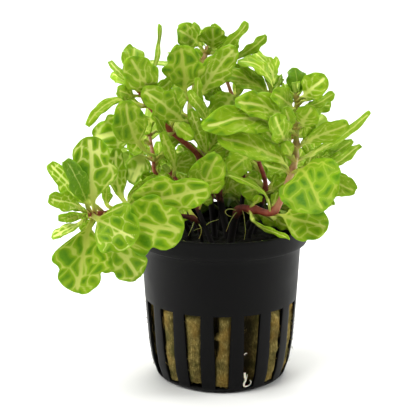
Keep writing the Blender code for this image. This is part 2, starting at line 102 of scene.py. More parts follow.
# A shoot: where it enters the wool (x, y), then its nodes as (x, z, depth) with up to two leaves:
# (x, z, depth of the tip, width, turn, bow, sweep, stalk), on the front elevation seen from eye.
shoots = {
    "left": {
        "root": (-6, -6),
        "nodes": [
            [(-9, 51, -12)],
            [(-22, 52, -18), (-20.5, 65, -12, 6.5, 40, 0.1), (-24, 45, -10, 6, 20, 0.1)],
            [(-30, 54, -20), (-3.5, 60.6, -26, 12.8, 0, 0.08), (-33, 73.5, -12, 8, 35, -0.12)],
            [(-34.5, 53.2, -22), (-12, 46.3, -32, 18.5, 0, 0.08), (-36.5, 62, -12, 4.5, 45, 0.1)],
            [(-38.5, 52.6, -25), (-26.3, 31.3, -27, 15.5, 5, 0.08), (-53.8, 68.8, -26, 8, 25, 0.1, -0.1)],
            [(-40.6, 52.4, -28), (-40.8, 77.3, -32, 15.5, 0, 0.06), (-46.3, 26.3, -33, 18, 0, 0.06)],
            [(-41.8, 52.2, -30.5), (-48.7, 69.8, -38, 7, 25, 0.08), (-26.8, 44, -38, 16.5, -5, 0.1)],
            [(-42.6, 52, -32.5), (-54.5, 57.5, -36, 6.5, 20, 0.1), (-53.8, 44.3, -36, 5, 50, 0.1)],
        ],
    },
    "upper_left": {
        "root": (-2, 3),
        "nodes": [
            [(-3.5, 58, 0)],
            [(-6.5, 70.3, -4), (-14.5, 72.5, 4, 7, 15, 0.1), (3, 77, -9, 4, 55, 0.1)],
            [(-16, 79.3, -6), (-8.5, 77, -12, 5, 10, 0.1, 0.04), (-21.5, 84.5, -15, 5, 45, 0.1)],
            [(-23.3, 88, -8), (-41.8, 80.6, -14, 3.6, 25, 0.1, 0.28, 0.3), (-14.5, 96, -6, 4.5, 20, 0.1)],
            [(-25, 91.3, -10), (-28, 102.2, -17, 11.3, 0, 0.08), (-32.3, 91.8, -20, 5.5, 10, 0.1)],
            [(-25.6, 93.8, -11), (-27, 105, 2, 9, 30, 0.1), (-18.7, 112, 0, 2.8, 55, 0.06)],
        ],
    },
    "centre": {
        "root": (2, 0),
        "nodes": [
            [(-1, 60, 2)],
            [(-5, 73, -1)],
            [(-9.3, 83, -7), (-24.6, 91.8, -14.5, 9.5, 5, 0.1, 0.06),
             (-7.2, 95.7, -12, 3.8, 35, 0.08, -0.12)],
            [(-9.2, 89.5, -5), (-12.5, 105.5, -8, 13.5, 0, 0.08, 0.05, 0.16),
             (4.4, 105, -8, 9.5, 10, 0.08, -0.09)],
            [(-5.5, 101, 3), (-15.5, 103.5, 0, 6.5, 30, 0.1), (7.9, 112.8, 0, 5.5, 50, 0.08)],
            [(-4.3, 104.3, 5), (-13.5, 110.7, -1, 9.5, 0, 0.1), (-2.5, 111.5, 0, 9.5, 0, 0.1)],
        ],
    },
    "top": {
        "root": (5, 7),
        "nodes": [
            [(7, 60, 9)],
            [(6, 76, 9)],
            [(3.3, 90, 7), (-8, 94.5, 3, 8, 20, 0.1), (-2.5, 80.5, -6, 11, 0, 0.08, 0, 0.1)],
            [(0.5, 98.5, 9)],
            [(2, 103, 9), (13.8, 108.8, 6, 5, 45, 0.08), (3, 98, 17, 5, 30, 0.1)],
        ],
    },
    "centre_right": {
        "root": (9, -1),
        "nodes": [
            [(14, 60.5, -2), (6.5, 59, -7, 8, 20, 0.1), (21.5, 60, 4, 9, 20, 0.1)],
            [(11.4, 71, -4), (2.3, 66, -12, 9, 15, 0.1), (18.5, 75, 4, 8, 20, 0.1)],
            [(11.7, 79, 0)],
            [(15, 88, 3), (-2, 97.3, -1, 8.5, 40, 0.08, 0.1), (8.5, 97.5, 8, 5, 20, 0.1)],
            [(16.7, 92, 3), (5, 101, 0, 7, 55, 0.2, 0.1), (9, 103.8, 9, 6.5, 50, 0.15, 0.1)],
        ],
    },
    "right": {
        "root": (3, -7),
        "nodes": [
            [(5.5, 53.5, -9)],
            [(10.5, 53.8, -12), (21.8, 44.5, -25, 2.8, 60, 0.12, 0.02), (12.3, 58.5, -16, 3, 30, 0.1)],
            [(17, 53.6, -14), (34, 48, -17, 12.5, 10, 0.08), (1.3, 64.8, -17, 5, 70, 0.15)],
            [(22.5, 67, -13.8), (32.6, 53.4, -30, 20, 0, 0.08), (-1, 77.3, -20, 8.5, 25, 0.1)],
            [(23.3, 70.8, -12), (12.5, 80.5, -8, 8.5, 25, 0.1), (46.5, 84.8, -3, 4, 40, 0.05)],
            [(23.5, 75, -11), (-6, 80.3, -21, 10.5, 25, 0.1, 0.16), (39.8, 81.3, -12, 7, 20, 0.08, -0.04)],
            [(23.5, 81, -10), (4.3, 88.3, -15, 9.5, 30, 0.12, 0.05), (28, 87, -15, 8, 10, 0.1, 0, 0.08)],
            [(23.5, 86, -9), (35, 91, -12, 5, 50, 0.08), (16, 91, -18, 8, 30, 0.1)],
            [(23.3, 89.7, -8.5), (32.5, 96, -14, 8.5, 0, 0.1), (22.8, 98.9, -2, 7, 20, 0.1)],
        ],
    },
    "right_back": {
        "root": (11, 6),
        "nodes": [
            [(17, 56, 8)],
            [(24, 62.5, 8), (33, 54, 20, 11, 20, 0.1), (13, 68, 18, 11, 20, 0.1)],
            [(29, 67, 6), (42.5, 60, 4, 8.5, 20, 0.1), (40.9, 76.3, 8, 7, 40, 0.06)],
            [(30.5, 69.3, 5.5), (43.5, 74.8, 1, 5, 50, 0.06), (28.5, 77.5, 12, 6, 30, 0.1)],
        ],
    },
    "left_middle": {
        "root": (-10, 1),
        "nodes": [
            [(-15, 56, -3)],
            [(-20.5, 65, -5)],
            [(-21.3, 71, -6), (-29.3, 88.5, -17, 11, 0, 0.05, -0.2, 0.45), (-28, 62, -11, 8, 0, 0.1)],
            [(-22.5, 79, -2), (-40, 77, -4, 12, 10, 0.1), (-14, 83, 9, 9, 30, 0.1)],
        ],
    },
    "front_left": {
        "root": (-3, -10),
        "nodes": [
            [(-9, 57, -9), (-1, 71.8, -19, 11.5, 0, 0.08), (-14, 50, -3, 8, 20, 0.1)],
            [(-16, 65.8, -10), (-18.5, 78.7, -13, 3.8, 10, 0.06), (-8.5, 71, -3, 8, 30, 0.1)],
        ],
    },
    "back_left": {
        "root": (-8, 10),
        "nodes": [
            [(-14, 56, 14), (-28, 58, 22, 12, 160, 0.1), (-5, 60, 26, 12, 160, 0.1)],
            [(-21, 66, 19), (-34, 70, 18, 12, 150, 0.1), (-12, 67, 34, 12, 150, 0.1)],
            [(-26, 73, 23), (-38, 69, 33, 11, 150, 0.1), (-20, 88, 26, 11, 150, 0.1)],
        ],
    },
    "back": {
        "root": (0, 12),
        "nodes": [
            [(0, 58, 18), (-12, 64, 29, 13, 160, 0.1), (12, 62, 30, 13, 160, 0.1)],
            [(1, 67, 24), (0, 57, 41, 14, 160, 0.1), (3, 84, 20, 13, 160, 0.1)],
            [(3, 77, 28), (-8, 79, 33, 11, 150, 0.1), (14, 84, 34, 11, 150, 0.1)],
        ],
    },
    "back_right": {
        "root": (9, 12),
        "nodes": [
            [(15, 58, 17), (28, 54, 27, 12, 160, 0.1), (5, 64, 32, 10, 160, 0.1)],
            [(20, 70, 22), (34, 72, 24, 12, 160, 0.1), (9, 74, 36, 11, 160, 0.1)],
            [(22, 78, 25), (32, 84, 33, 10, 150, 0.1), (13, 91, 24, 10, 150, 0.1)],
        ],
    },
}

# what a leaf may change to keep clear of its neighbours: (depth, turn, bow), tried in this order
adjustments = [(0, 0, 0)]
for step in (1.5, 3.0, 4.5, 6.0, 8.0, 10.0):
    adjustments += [(-step, 0, 0), (step, 0, 0), (-step, 6 * step, 0), (step, -6 * step, 0)]
    adjustments += [(-step, -6 * step, 0.05), (step, 6 * step, 0.05), (-step, 0, -0.1), (step, 0, -0.1)]

# outline of a plain blade, lobed twice a side: (share of its length, share of the half width)
bladeOutline = [
    (0.0, 0.0), (0.07, 0.12), (0.14, 0.28), (0.3, 0.68), (0.43, 0.96),
    (0.52, 0.86), (0.66, 1.0), (0.78, 0.86), (0.91, 0.6), (1.0, 0.16),
]


def seen(x, z, depth):  # the point that the front elevation shows at (x, z), so deep
    reach = (depth - eye.y) / -eye.y
    return Vector((eye.x + (x - eye.x) * reach, depth, eye.z + (z - eye.z) * reach))


def elevation(point):  # a point's (x, z, depth) on the front elevation
    reach = (point.y - eye.y) / -eye.y
    return eye.x + (point.x - eye.x) / reach, eye.z + (point.z - eye.z) / reach, point.y


def around(degrees, radius, z):  # a point about the pot's axis, in degrees from the front
    a = math.radians(degrees)
    return Vector((radius * math.sin(a), -radius * math.cos(a), z))


def smooth(points, steps):  # a curve through the points
    ends = [2 * points[0] - points[1]] + points + [2 * points[-1] - points[-2]]
    path = [points[0].copy()]
    for i in range(len(points) - 1):
        a, b, c, d = ends[i : i + 4]
        for k in range(1, steps + 1):
            t = k / steps
            flat, bent = 2 * a - 5 * b + 4 * c - d, 3 * b - a - 3 * c + d
            path.append(0.5 * (2 * b + (c - a) * t + flat * t * t + bent * t**3))
    return path


def stemPath(shoot, steps=3):  # from the foot in the wool to the tip
    x, y = shoot["root"]
    nodes = [seen(*node[0]) for node in shoot["nodes"]]
    mouth = Vector((x, y, woolTop))
    foot = mouth - Vector((0, 0, plantingDepth))
    tip = nodes[-1] + (nodes[-1] - nodes[-2]).normalized() * 1.2
    above = smooth([mouth + Vector((0, 0, 2.0))] + nodes + [tip], steps)
    return [foot, mouth - Vector((0, 0, 1.0)), mouth + Vector((0, 0, 0.5))] + above


def direction(path, point):
    near = min(range(len(path)), key=lambda i: (path[i] - point).length)
    return (path[min(near + 1, len(path) - 1)] - path[max(near - 1, 0)]).normalized()


def square(vector, axis):  # the part of the vector at right angles to the axis
    return (vector - axis * vector.dot(axis)).normalized()


def tube(path, radius, sides):
    points, faces = [], []
    side = square(Vector((0.3, 1, 0.2)), (path[1] - path[0]).normalized())
    for i, centre in enumerate(path):
        along = (path[min(i + 1, len(path) - 1)] - path[max(i - 1, 0)]).normalized()
        side = square(side, along)
        other = along.cross(side)
        for k in range(sides):
            a = 2 * math.pi * k / sides
            points.append(centre + (side * math.cos(a) + other * math.sin(a)) * radius)
    for i in range(len(path) - 1):
        for k in range(sides):
            j = (k + 1) % sides
            faces.append((i * sides + k, i * sides + j, (i + 1) * sides + j, (i + 1) * sides + k))
    faces.append(tuple(range(sides))[::-1])
    faces.append(tuple((len(path) - 1) * sides + k for k in range(sides)))
    return points, faces


def baseDirections(node, along, tips):  # which way the two leaves of a pair leave the stem
    first, second = (square(tip - node, along) for tip in tips)
    angle = math.atan2(along.dot(first.cross(second)), first.dot(second))
    least = math.radians(leastApart)
    if abs(angle) < least:
        apart = (least - abs(angle)) / 2 * (1 if angle >= 0 else -1)
        first = Quaternion(along, -apart) @ first
        second = Quaternion(along, apart) @ second
    return first, second


def heading(handles, t):  # which way a leaf's middle line runs at a share of its length
    a, b, c, d = handles
    u = 1 - t
    return ((b - a) * u * u + (c - b) * 2 * u * t + (d - c) * t * t).normalized()


def facing(handles, along, face, full, share):  # turns from the stem to the leaf's own face, by full
    way = heading(handles, share)
    if share >= full:
        return way, square(face, way)
    first, last = heading(handles, 0), heading(handles, full)
    carried, end = first.rotation_difference(last) @ square(along, first), square(face, last)
    angle = math.atan2(last.dot(carried.cross(end)), carried.dot(end))
    k = share / full
    turned = Quaternion(way, angle * k * k * (3 - 2 * k)) @ first.rotation_difference(way)
    return way, turned @ square(along, first)


def leafShape(node, along, out, leaf, change):  # a leaf's middle line and the way it faces
    x, z, depth, width, turn, bow, sweep, stalk = (*leaf, *(0.0, 0.14)[len(leaf) - 6 :])
    more, spin, lift = change
    tip = seen(x, z, depth + more)
    base = node + out * petioleStart
    chord = tip - base
    length = chord.length
    line = chord.normalized()
    face = square(eye - (base + tip) / 2, line)
    face = Quaternion(line, math.radians(turn + spin)) @ face
    rise = face * ((bow + lift) * length)
    aside = line.cross(square(eye - base, line)) * sweep * length
    handles = [
        base,
        base + (out * 0.8 + along * 0.5).normalized() * length * 0.25 + rise * 0.5 + aside,
        tip - line * length * 0.4 + rise * 1.3 + aside,
        tip,
    ]
    return {"handles": handles, "along": along, "out": out, "node": node, "face": face, "stalk": stalk,
            "half": width / 2, "length": length}


def frameAt(shape, share, turning=0.26):  # centre, side and normal at a share of the length
    p, t, u = shape["handles"], share, 1 - share
    centre = p[0] * u**3 + p[1] * 3 * u * u * t + p[2] * 3 * u * t * t + p[3] * t**3
    way, normal = facing(p, shape["along"], shape["face"], shape["stalk"] + turning, share)
    return centre, way.cross(normal), normal


def plainSections(shape):
    sections = []
    stalk = shape["stalk"]
    blade = [(stalk + (1 - stalk) * part, wide) for part, wide in bladeOutline]
    for share, wide in [(0.0, 0.0), (stalk * 0.35, 0.0), (stalk * 0.7, 0.0)] + blade:
        half = petioleWide / 2 + (shape["half"] - petioleWide / 2) * wide
        sections.append((*frameAt(shape, share), half, bladeThick / 2))
    return sections


def loft(sections, margin=0.0):  # a closed strip with a diamond section, folded up along its sides
    points, faces = [], []
    for centre, side, normal, half, thick in sections:
        fold = normal * max(0.0, half - foldStart) * foldSlope
        points += [
            centre + side * (half + margin) + fold,
            centre + normal * (thick + margin),
            centre - side * (half + margin) + fold,
            centre - normal * (thick + margin),
        ]
    for i in range(0, 4 * (len(sections) - 1), 4):
        a, b, c, d, e, f, g, h = range(i, i + 8)
        faces += [(a, b, f), (a, f, e), (b, c, f), (c, g, f), (c, d, h), (c, h, g), (d, a, h), (a, e, h)]
    last = 4 * (len(sections) - 1)
    faces += [(3, 2, 1, 0), (last, last + 1, last + 2, last + 3)]
    return points, faces


def obstacles(stems, room=0.4, sides=48):  # the pot, filled to the top of the wool, and the bare stems
    outside = [(r + room, z + room) for r, z in potProfile[2:]]
    inside = [(r - potWall - room, z + room) for r, z in reversed(potProfile[4:])]
    ring = outside + inside + [(0.0, woolTop + room)]
    points = [around(360.0 * k / sides, r, z) for r, z in ring for k in range(sides)]
    faces = [
        (i * sides + k, i * sides + (k + 1) % sides, (i + 1) * sides + (k + 1) % sides, (i + 1) * sides + k)
        for i in range(len(ring) - 1)
        for k in range(sides)
    ]
    tubes = [tube(path[3:], stemRadius + 0.15, 6) for path in stems.values()]
    return [BVHTree.FromPolygons(*solid) for solid in [(points, faces)] + tubes]


def settle(node, along, out, leaf, taken, tries=None, stay=True):  # the first small change that finds room
    best = None
    for change in adjustments[:tries]:
        shape = leafShape(node, along, out, leaf, change)
        sections = plainSections(shape)
        tree = BVHTree.FromPolygons(*loft(sections, testMargin))
        hits = sum(len(tree.overlap(other)) for other in taken)
        if best is None or hits < best[0]:
            best = (hits, sections, shape)
        if hits == 0:
            break
    if stay or not best[0]:
        taken.append(BVHTree.FromPolygons(*loft(best[1])))
    return best[2], best[0]


# Leaves too small or too far inside for a solid of their own: where on the stem (x, z, depth), then a leaf.
youngLeaves = {
    "left": [((-29.5, 53.8, -19.9), (-20.5, 64.5, -16, 4.5, 20, 0.08))],
    "left_middle": [
        ((-21.5, 76, -4), (-28, 72, -9, 7, 15, 0.1)), ((-21, 69, -6), (-15.5, 72.5, 3, 6, 20, 0.1)),
    ],
    "centre_right": [
        ((15.6, 90.5, 3), (7.8, 97.8, 6, 4.4, 10, 0.1)), ((16.7, 92, 3), (18.2, 96.5, 0, 2.6, 20, 0.05)),
        ((16.7, 92, 3), (17.3, 102, 8, 3.4, 35, 0.08)), ((16.5, 91.5, 3), (13.2, 101.6, 9, 3.2, 40, 0.1)),
        ((13.3, 62, -2), (8.5, 64.5, 4, 6, 20, 0.1)), ((13.6, 61.5, -2), (19.5, 64, 1, 6, 20, 0.1)),
        ((12, 67, -3), (7.5, 73, 2, 7, 25, 0.1)), ((11.6, 75, -2), (16.5, 82.5, 2, 7, 20, 0.1)),
        ((11.6, 75, -2), (5.5, 80.5, 4, 7, 20, 0.1)), ((13.5, 84, 2), (19.5, 88.5, 6, 6, 20, 0.1)),
    ],
    "right": [
        ((23.5, 86, -9), (34, 87.4, -4, 5.5, 20, 0.1)),
        ((23.4, 75, -11), (16.5, 84.2, -14, 7.5, 15, 0.08, -0.05)),
        ((22.6, 66, -13.5), (13.5, 74.5, -14, 7, 20, 0.08)),
        ((23.5, 86, -9), (18.5, 93.6, -12, 5, 20, 0.1)),
        ((23.5, 88.5, -8.6), (28.6, 94.8, -12, 6, 0, 0.1, 0.1)),
        ((23.5, 81, -10), (28.8, 79.5, -15, 7, 5, 0.12)),
        ((23.5, 79, -10.4), (19.8, 86.5, -13, 5, 10, 0.1)),
        ((23.5, 85, -9.2), (30.5, 88.5, -8, 4.5, 30, 0.1)),
        ((23.3, 70.2, -12.6), (19.5, 75.5, -14.5, 4.5, 10, 0.1)),
        ((8, 53.7, -11), (12, 50.5, -6, 4, 20, 0.1)), ((15.5, 53, -13.6), (22.4, 48, -8.5, 4.5, 20, 0.1)),
        ((11.5, 53.6, -12.4), (18, 49.2, -5, 5, 20, 0.1)),
    ],
    "top": [
        ((4.6, 84, 8), (12.5, 90.5, 12, 9, 15, 0.1)), ((5.6, 78, 9), (-4.5, 84, 10, 9, 10, 0.1)),
        ((6, 74, 9), (13.5, 77, 14, 9, 15, 0.1)), ((6.4, 70, 9), (-1.5, 75.5, 12, 9, 10, 0.1)),
        ((6.7, 65, 9), (13.5, 68.5, 12, 9, 10, 0.1)), ((6.8, 62, 9), (0.5, 67.5, 13, 9, 10, 0.1)),
        ((7, 58.5, 9), (13, 59.5, 14, 8, 10, 0.1)), ((7, 57, 8.7), (0.5, 57.5, 12, 6, 0, 0.1)),
        ((1.6, 95.5, 8.5), (7.5, 99.5, 10, 5, 20, 0.1)),
    ],
    "centre": [
        ((-2, 64, 4), (-9.5, 68.5, 6, 8, 10, 0.1)), ((-0.8, 59.5, 3), (6.2, 62.5, 4, 8, 10, 0.1)),
        ((-3.6, 69, 4), (3.5, 74.5, 3, 7, 10, 0.1)), ((-7, 78, 3), (-14.5, 83.5, 6, 7, 15, 0.1)),
        ((-6, 75.5, 3.6), (-0.5, 82.5, 0, 6, 20, 0.1)), ((-9, 88, 2), (-15.5, 95.5, 6, 5, 20, 0.1)),
        ((-8.3, 94, -1), (-25.5, 99.8, -2, 3, 55, 0.2)), ((-8.3, 94, -1), (-16, 103.5, 3, 4.5, 20, 0.1)),
        ((-9.3, 85, -6.6), (-14.5, 92.5, -6, 7.5, 10, 0.1)), ((-5, 73, -1), (-9.6, 86, -12, 4.6, 5, 0.05)),
        ((-7.5, 79.5, -4), (-10.2, 91.5, -13, 4.5, 5, 0.05)), ((-2, 64, 1), (-2, 67, -9, 7, 20, 0.1)),
        ((-4.6, 72, -1), (1, 73, -9, 6, 20, 0.1)),
    ],
    "upper_left": [
        ((-25.4, 93, -10.5), (-34.4, 100.8, -4, 2.6, 30, 0.1, -0.1)),
        ((-25.2, 92.5, -10.5), (-33.8, 97.2, -4, 4.6, 15, 0.1)),
        ((-11, 74.5, -5), (-17.5, 79, 2, 6, 20, 0.1)), ((-16.5, 80, -6), (-11.5, 84.5, -3, 6, 20, 0.1)),
        ((-19.5, 83.5, -7), (-25, 79.5, -2, 7, 20, 0.1)), ((-4.2, 61, -0.8), (-11, 65, 0, 6, 10, 0.1)),
    ],
    "front_left": [
        ((-12, 61, -9.5), (-19.5, 65.5, -6, 7, 10, 0.1)), ((-8, 54.5, -9), (-2.8, 57.5, -5, 4, 20, 0.1)),
    ],
    "right_back": [
        ((20, 59, 8), (27, 59.5, 12, 7, 15, 0.1)), ((27, 65.5, 6.8), (22, 72.5, 4, 7, 15, 0.1)),
        ((15.6, 54, 7.8), (11.5, 58.5, 12, 7, 0, 0.1)), ((16.5, 55, 8), (20.5, 55, 14, 7, 0, 0.1)),
    ],
    "back": [
        ((0, 55, 16.5), (-7, 57.5, 18, 10, 0, 0.1)), ((0, 56, 17), (7.5, 57.5, 19, 10, 0, 0.1)),
        ((0.6, 63, 22), (8, 66.5, 20, 10, 0, 0.1)), ((0.4, 62, 21), (-8.5, 66, 19, 10, 0, 0.1)),
        ((1.8, 71, 26), (8.5, 77, 22, 10, 0, 0.1)), ((2, 72, 26), (-7, 75.5, 24, 10, 0, 0.1)),
    ],
    "back_left": [
        ((-16, 59, 15.5), (-22.5, 62, 12, 8, 10, 0.1)), ((-23.5, 69.5, 21), (-28, 76, 16, 8, 10, 0.1)),
    ],
    "back_right": [
        ((15.5, 60, 18), (21.5, 64, 14, 9, 10, 0.1)), ((19, 68, 21), (13.5, 73, 17, 9, 10, 0.1)),
    ],
}

# pairs of small leaves in the axils, wherever there is room for them
axilLeaves = {
    "seed": 11,
    "turns": (35, 125, 215, 305), "wander": 20,  # degrees round the stem from the pair, and either way
    "length": (5.5, 9.5), "breadth": (0.38, 0.55),  # mm, and the width as a share of that
    "twist": 30, "bow": 0.12,
    "bareFront": ("left", "right", "front_left", "upper_left", "centre"),  # shoots with none on the front
}


def growPairs(stems, taken, leaves):
    for name, shoot in shoots.items():
        for number, (where, *pair) in enumerate(shoot["nodes"], 1):
            if not pair:
                continue
            node = seen(*where)
            along = direction(stems[name], node)
            outs = baseDirections(node, along, [seen(*leaf[:3]) for leaf in pair])
            for letter, out, leaf in zip("ab", outs, pair):
                shape = settle(node, along, out, leaf, taken)[0]
                leaves[name].append({**shape, "name": f"{name}_{number}_{letter}"})


def growYoung(taken, leaves):
    for name, young in youngLeaves.items():
        fine = stemPath(shoots[name], 12)
        for number, (where, leaf) in enumerate(young):
            node = min(fine, key=lambda p: (p - seen(*where)).length)
            along = direction(fine, node)
            out = square(seen(*leaf[:3]) - node, along)
            shape = settle(node, along, out, leaf, taken)[0]
            leaves[name].append({**shape, "name": f"{name}_young_{number}"})


def growAxils(stems, taken, leaves):
    look = axilLeaves
    rng = np.random.default_rng(look["seed"])
    for name, shoot in shoots.items():
        for number, (where, *pair) in enumerate(shoot["nodes"], 1):
            node = seen(*where)
            along = direction(stems[name], node)
            start = square(seen(*pair[0][:3]) - node if pair else Vector(rng.normal(0, 1, 3)), along)
            for turn in look["turns"]:
                spin = turn + rng.uniform(-look["wander"], look["wander"])
                out = Quaternion(along, math.radians(spin)) @ start
                if out.y < 0.2 and name in look["bareFront"]:
                    continue
                reach = rng.uniform(*look["length"])
                way = (out * rng.uniform(0.3, 0.9) + along * rng.uniform(0.4, 0.9)).normalized()
                tip = node + out * petioleStart + way * reach
                width = reach * rng.uniform(*look["breadth"])
                leaf = (*elevation(tip), width, rng.uniform(-look["twist"], look["twist"]), look["bow"])
                shape, hits = settle(node, along, out, leaf, taken, 1, False)
                if not hits:
                    leaves[name].append({**shape, "name": f"{name}_axil_{number}_{turn}"})


def growAll():
    stems = {name: stemPath(shoot) for name, shoot in shoots.items()}
    taken = obstacles(stems)
    leaves = {name: [] for name in shoots}
    growPairs(stems, taken, leaves)
    growYoung(taken, leaves)
    growAxils(stems, taken, leaves)
    return leaves


# A blade is thin, lobed and quilted: its veins lie in furrows on the face and stand proud underneath.
leafBlade = {
    "spacing": 0.3,  # mm between points
    "rearSpacing": 0.36,  # the same on the shoots at the back
    "stalkSpacing": 0.8,  # mm between the rings of a stalk
    "thick": 0.26,  # mm between the veins
    "petiole": 0.44,  # mm, half thickness of the stalk
    "foot": 0.14,  # share of the blade over which it opens out of its stalk
    "quilt": 0.16,  # mm that a cell stands up between its veins
    "cell": 0.75,  # mm over which a cell rises
    "furrow": 0.08, "ridge": 0.16, "keel": 0.42,  # mm, the veins on the face and underneath, and the midrib
    "rim": 0.3, "rimTip": 0.6,  # mm, breadth of the green margin, and at the tip
    "ruffle": 0.55, "waves": (2.2, 3.2),  # mm of wave at the margin, and how many in a blade's length
    "strapWave": 0.4, "droop": 0.12,  # mm that a strap leaf waves as a whole, and that a margin turns down
    "lobeShift": 0.022, "lobeJitter": 0.008,  # how unlike the lobes are, as shares of the length
    "lobed": (0.75, 1.1),  # how lobed an edge is, rather than a plain oval
    "turning": 0.08,  # share of the length, past the stalk, over which the blade turns to its own face
    "fullHalf": 6,  # mm, half width from which a blade has its full relief
    # painted shade on the leaves low inside the crown, where the crown shades them: (mm where it begins, mm
    # over which it deepens) below that height, inside that radius, and behind a line in front of the axis
    "shadeFall": ((61, 7), (22, 4), (8, 5)),
    "seed": 7,
}

# how pale the veins are, how dark the cells, how broad the veins, and how far the whole leaf is green,
# with a little painted shade, where a leaf differs from the rest
leafTints = {
    "left_3_a": (0.3, 0.35, 1.2, 0), "left_3_b": (0.7, 0.3, 1.7, 0), "left_4_a": (0.3, 0.35, 1.15, 0),
    "left_5_a": (0.4, 0.3, 1.2, 0), "left_5_b": (0.85, 0.4, 1.25, 0), "left_6_a": (0.7, 0.42, 1.15, 0),
    "left_6_b": (0.3, 0.35, 1.1, 0), "left_7_a": (0.6, 0.85, 0.8, 0.75), "left_7_b": (0.9, 0.5, 0.65, 0.35),
    "left_8_a": (0.8, 0.8, 1.0, 0.35), "left_8_b": (0.85, 0.3, 1.4, 0),
    "left_middle_3_a": (0.25, 0.5, 0.9, 0), "left_middle_3_b": (1.0, 0.3, 3.0, 0),
    "left_middle_4_a": (0.8, 0.3, 1.7, 0), "centre_5_a": (0.3, 0.5, 0.9, 0),
    "centre_right_2_a": (0.2, 0.8, 0.8, 0), "right_4_a": (0.1, 0.55, 0.85, 0.4),
    "right_9_a": (0.7, 0.4, 1.2, 0), "right_9_b": (0.2, 0.85, 0.7, 0.75),
}

# A blade's edge: (share of its length, share of its half width).
# lobed: a wedge, two side lobes parted by notches, and a round end lobe
lobedEdge = [
    (0, 0.02), (0.06, 0.12), (0.14, 0.27), (0.24, 0.48), (0.34, 0.69), (0.44, 0.89), (0.52, 0.99),
    (0.575, 1.0), (0.62, 0.92), (0.65, 0.76), (0.67, 0.65), (0.695, 0.61), (0.735, 0.645), (0.785, 0.665),
    (0.835, 0.64), (0.88, 0.56), (0.925, 0.46), (0.96, 0.35), (0.985, 0.24), (1, 0.1),
]
# strap: the longer leaves higher up, which taper all the way into their stalk
strapEdge = [
    (0, 0.16), (0.06, 0.25), (0.14, 0.38), (0.24, 0.57), (0.35, 0.79), (0.46, 0.95), (0.56, 1.0),
    (0.615, 0.95), (0.65, 0.85), (0.68, 0.8), (0.72, 0.83), (0.77, 0.83), (0.82, 0.74), (0.86, 0.66),
    (0.9, 0.56), (0.94, 0.42), (0.975, 0.27), (1, 0.1),
]
# ovate: broad in its lower half
ovateEdge = [
    (0, 0.05), (0.05, 0.28), (0.12, 0.55), (0.2, 0.76), (0.32, 0.94), (0.45, 1.0), (0.6, 0.97),
    (0.72, 0.86), (0.84, 0.66), (0.92, 0.44), (0.97, 0.26), (1, 0.1),
]

# how far a shoot's leaves, or one leaf, are strap-shaped or ovate rather than lobed
strapShare = {
    "left": 0.1, "upper_left": 0.6, "centre": 0.5, "top": 0.9, "centre_right": 0.9, "right": 0.95,
    "right_back": 0.9, "left_middle": 0.4, "front_left": 0.5, "back_left": 0.5, "back": 0.5,
    "back_right": 0.5,
    "right_4_a": 0.1, "right_3_a": 0.3, "centre_right_4_a": 0.5, "upper_left_3_a": 0.9,
    "centre_3_a": 0.45, "centre_3_b": 0.9, "centre_4_a": 0.25,
}
ovateShare = {
    "right_4_a": 0.9, "left_middle_3_a": 0.8, "right_3_a": 0.5, "right_7_b": 0.8, "right_9_a": 0.6,
    "front_left_1_a": 0.6, "left_7_b": 0.3,
}


def quadratic(a, b, c, steps):
    t = np.linspace(0, 1, steps + 1)[:, None]
    return np.array(a) * (1 - t) ** 2 + np.array(b) * 2 * t * (1 - t) + np.array(c) * t**2


def bladeWidths(e, half, strap, ovate, rng):  # both sides' half widths at the shares e of the length
    places, sizes = np.array(lobedEdge).T
    broadest = 0.56  # where on its length the plain oval is widest
    foot = np.sin(0.5 * np.pi * np.clip(e / broadest, 0, 1)) ** 1.5
    oval = foot * (1 - np.clip((e - broadest) / 0.44, 0, 1) ** 2.3) ** 0.56
    fine = np.linspace(0, 1, 401)
    window = np.hanning(15)[1:-1] / 7.0
    sides = []
    for _ in range(2):
        bent = rng.normal(0, leafBlade["lobeShift"]) * np.sin(np.pi * places)
        jitter = rng.normal(0, leafBlade["lobeJitter"], len(places))
        shift = bent + jitter * (places < 0.95) * (places > 0)
        edge = np.pad(np.interp(fine, places + shift, sizes), 6, mode="reflect", reflect_type="odd")
        lobed = np.interp(e, fine, np.convolve(edge, window, "valid"))
        share = rng.uniform(*leafBlade["lobed"])
        width = lobed * share + oval * (1 - share)
        width = width * (1 - strap) + strap * np.interp(e, *np.array(strapEdge).T)
        width = width * (1 - ovate) + ovate * np.interp(e, *np.array(ovateEdge).T)
        sides.append(petioleWide / 2 + (half - petioleWide / 2) * np.maximum(width, 0))
    return sides


# veins: shares of the blade's length where each begins and ends; breadths in mm on a blade 14 mm wide
leafVeins = {
    "midrib": (-0.12, 0.3, 0.94),
    "smallSides": [(0.06, 0.6)], "smallHalf": 3.2,  # one pair of side veins, up to this half width in mm
    "sides": [(-0.02, 0.46)], "strapSides": [(0.22, 0.62), (0.42, 0.8)],  # strap leaves have both lists
    "midribWide": 0.62, "midribTip": 0.22, "sideWide": 0.34, "sideTip": 0.24,
    "cellHalves": (1.2, 3, 6, 9), "cells": (0.9, 1.7, 3.0, 4.0),  # mm, half widths and the cells they have
    "web": 0.72, "webStrap": 0.36,  # strength of the net of small veins, and how much less on a strap leaf
    "webUneven": 0.24, "webSoft": 0.07,  # shares of a cell: how far it strays, how round its corners are
    "webWide": (0.1, 0.055),  # mm, breadth of the net's lines, and what each mm of a cell adds
    "wander": ((7.0, 0.5), (2.5, 0.1)),  # mm, wavelength and size of the veins' two bends
    "fading": (5.0, 0.28),  # mm, and the share by which the net comes and goes
}


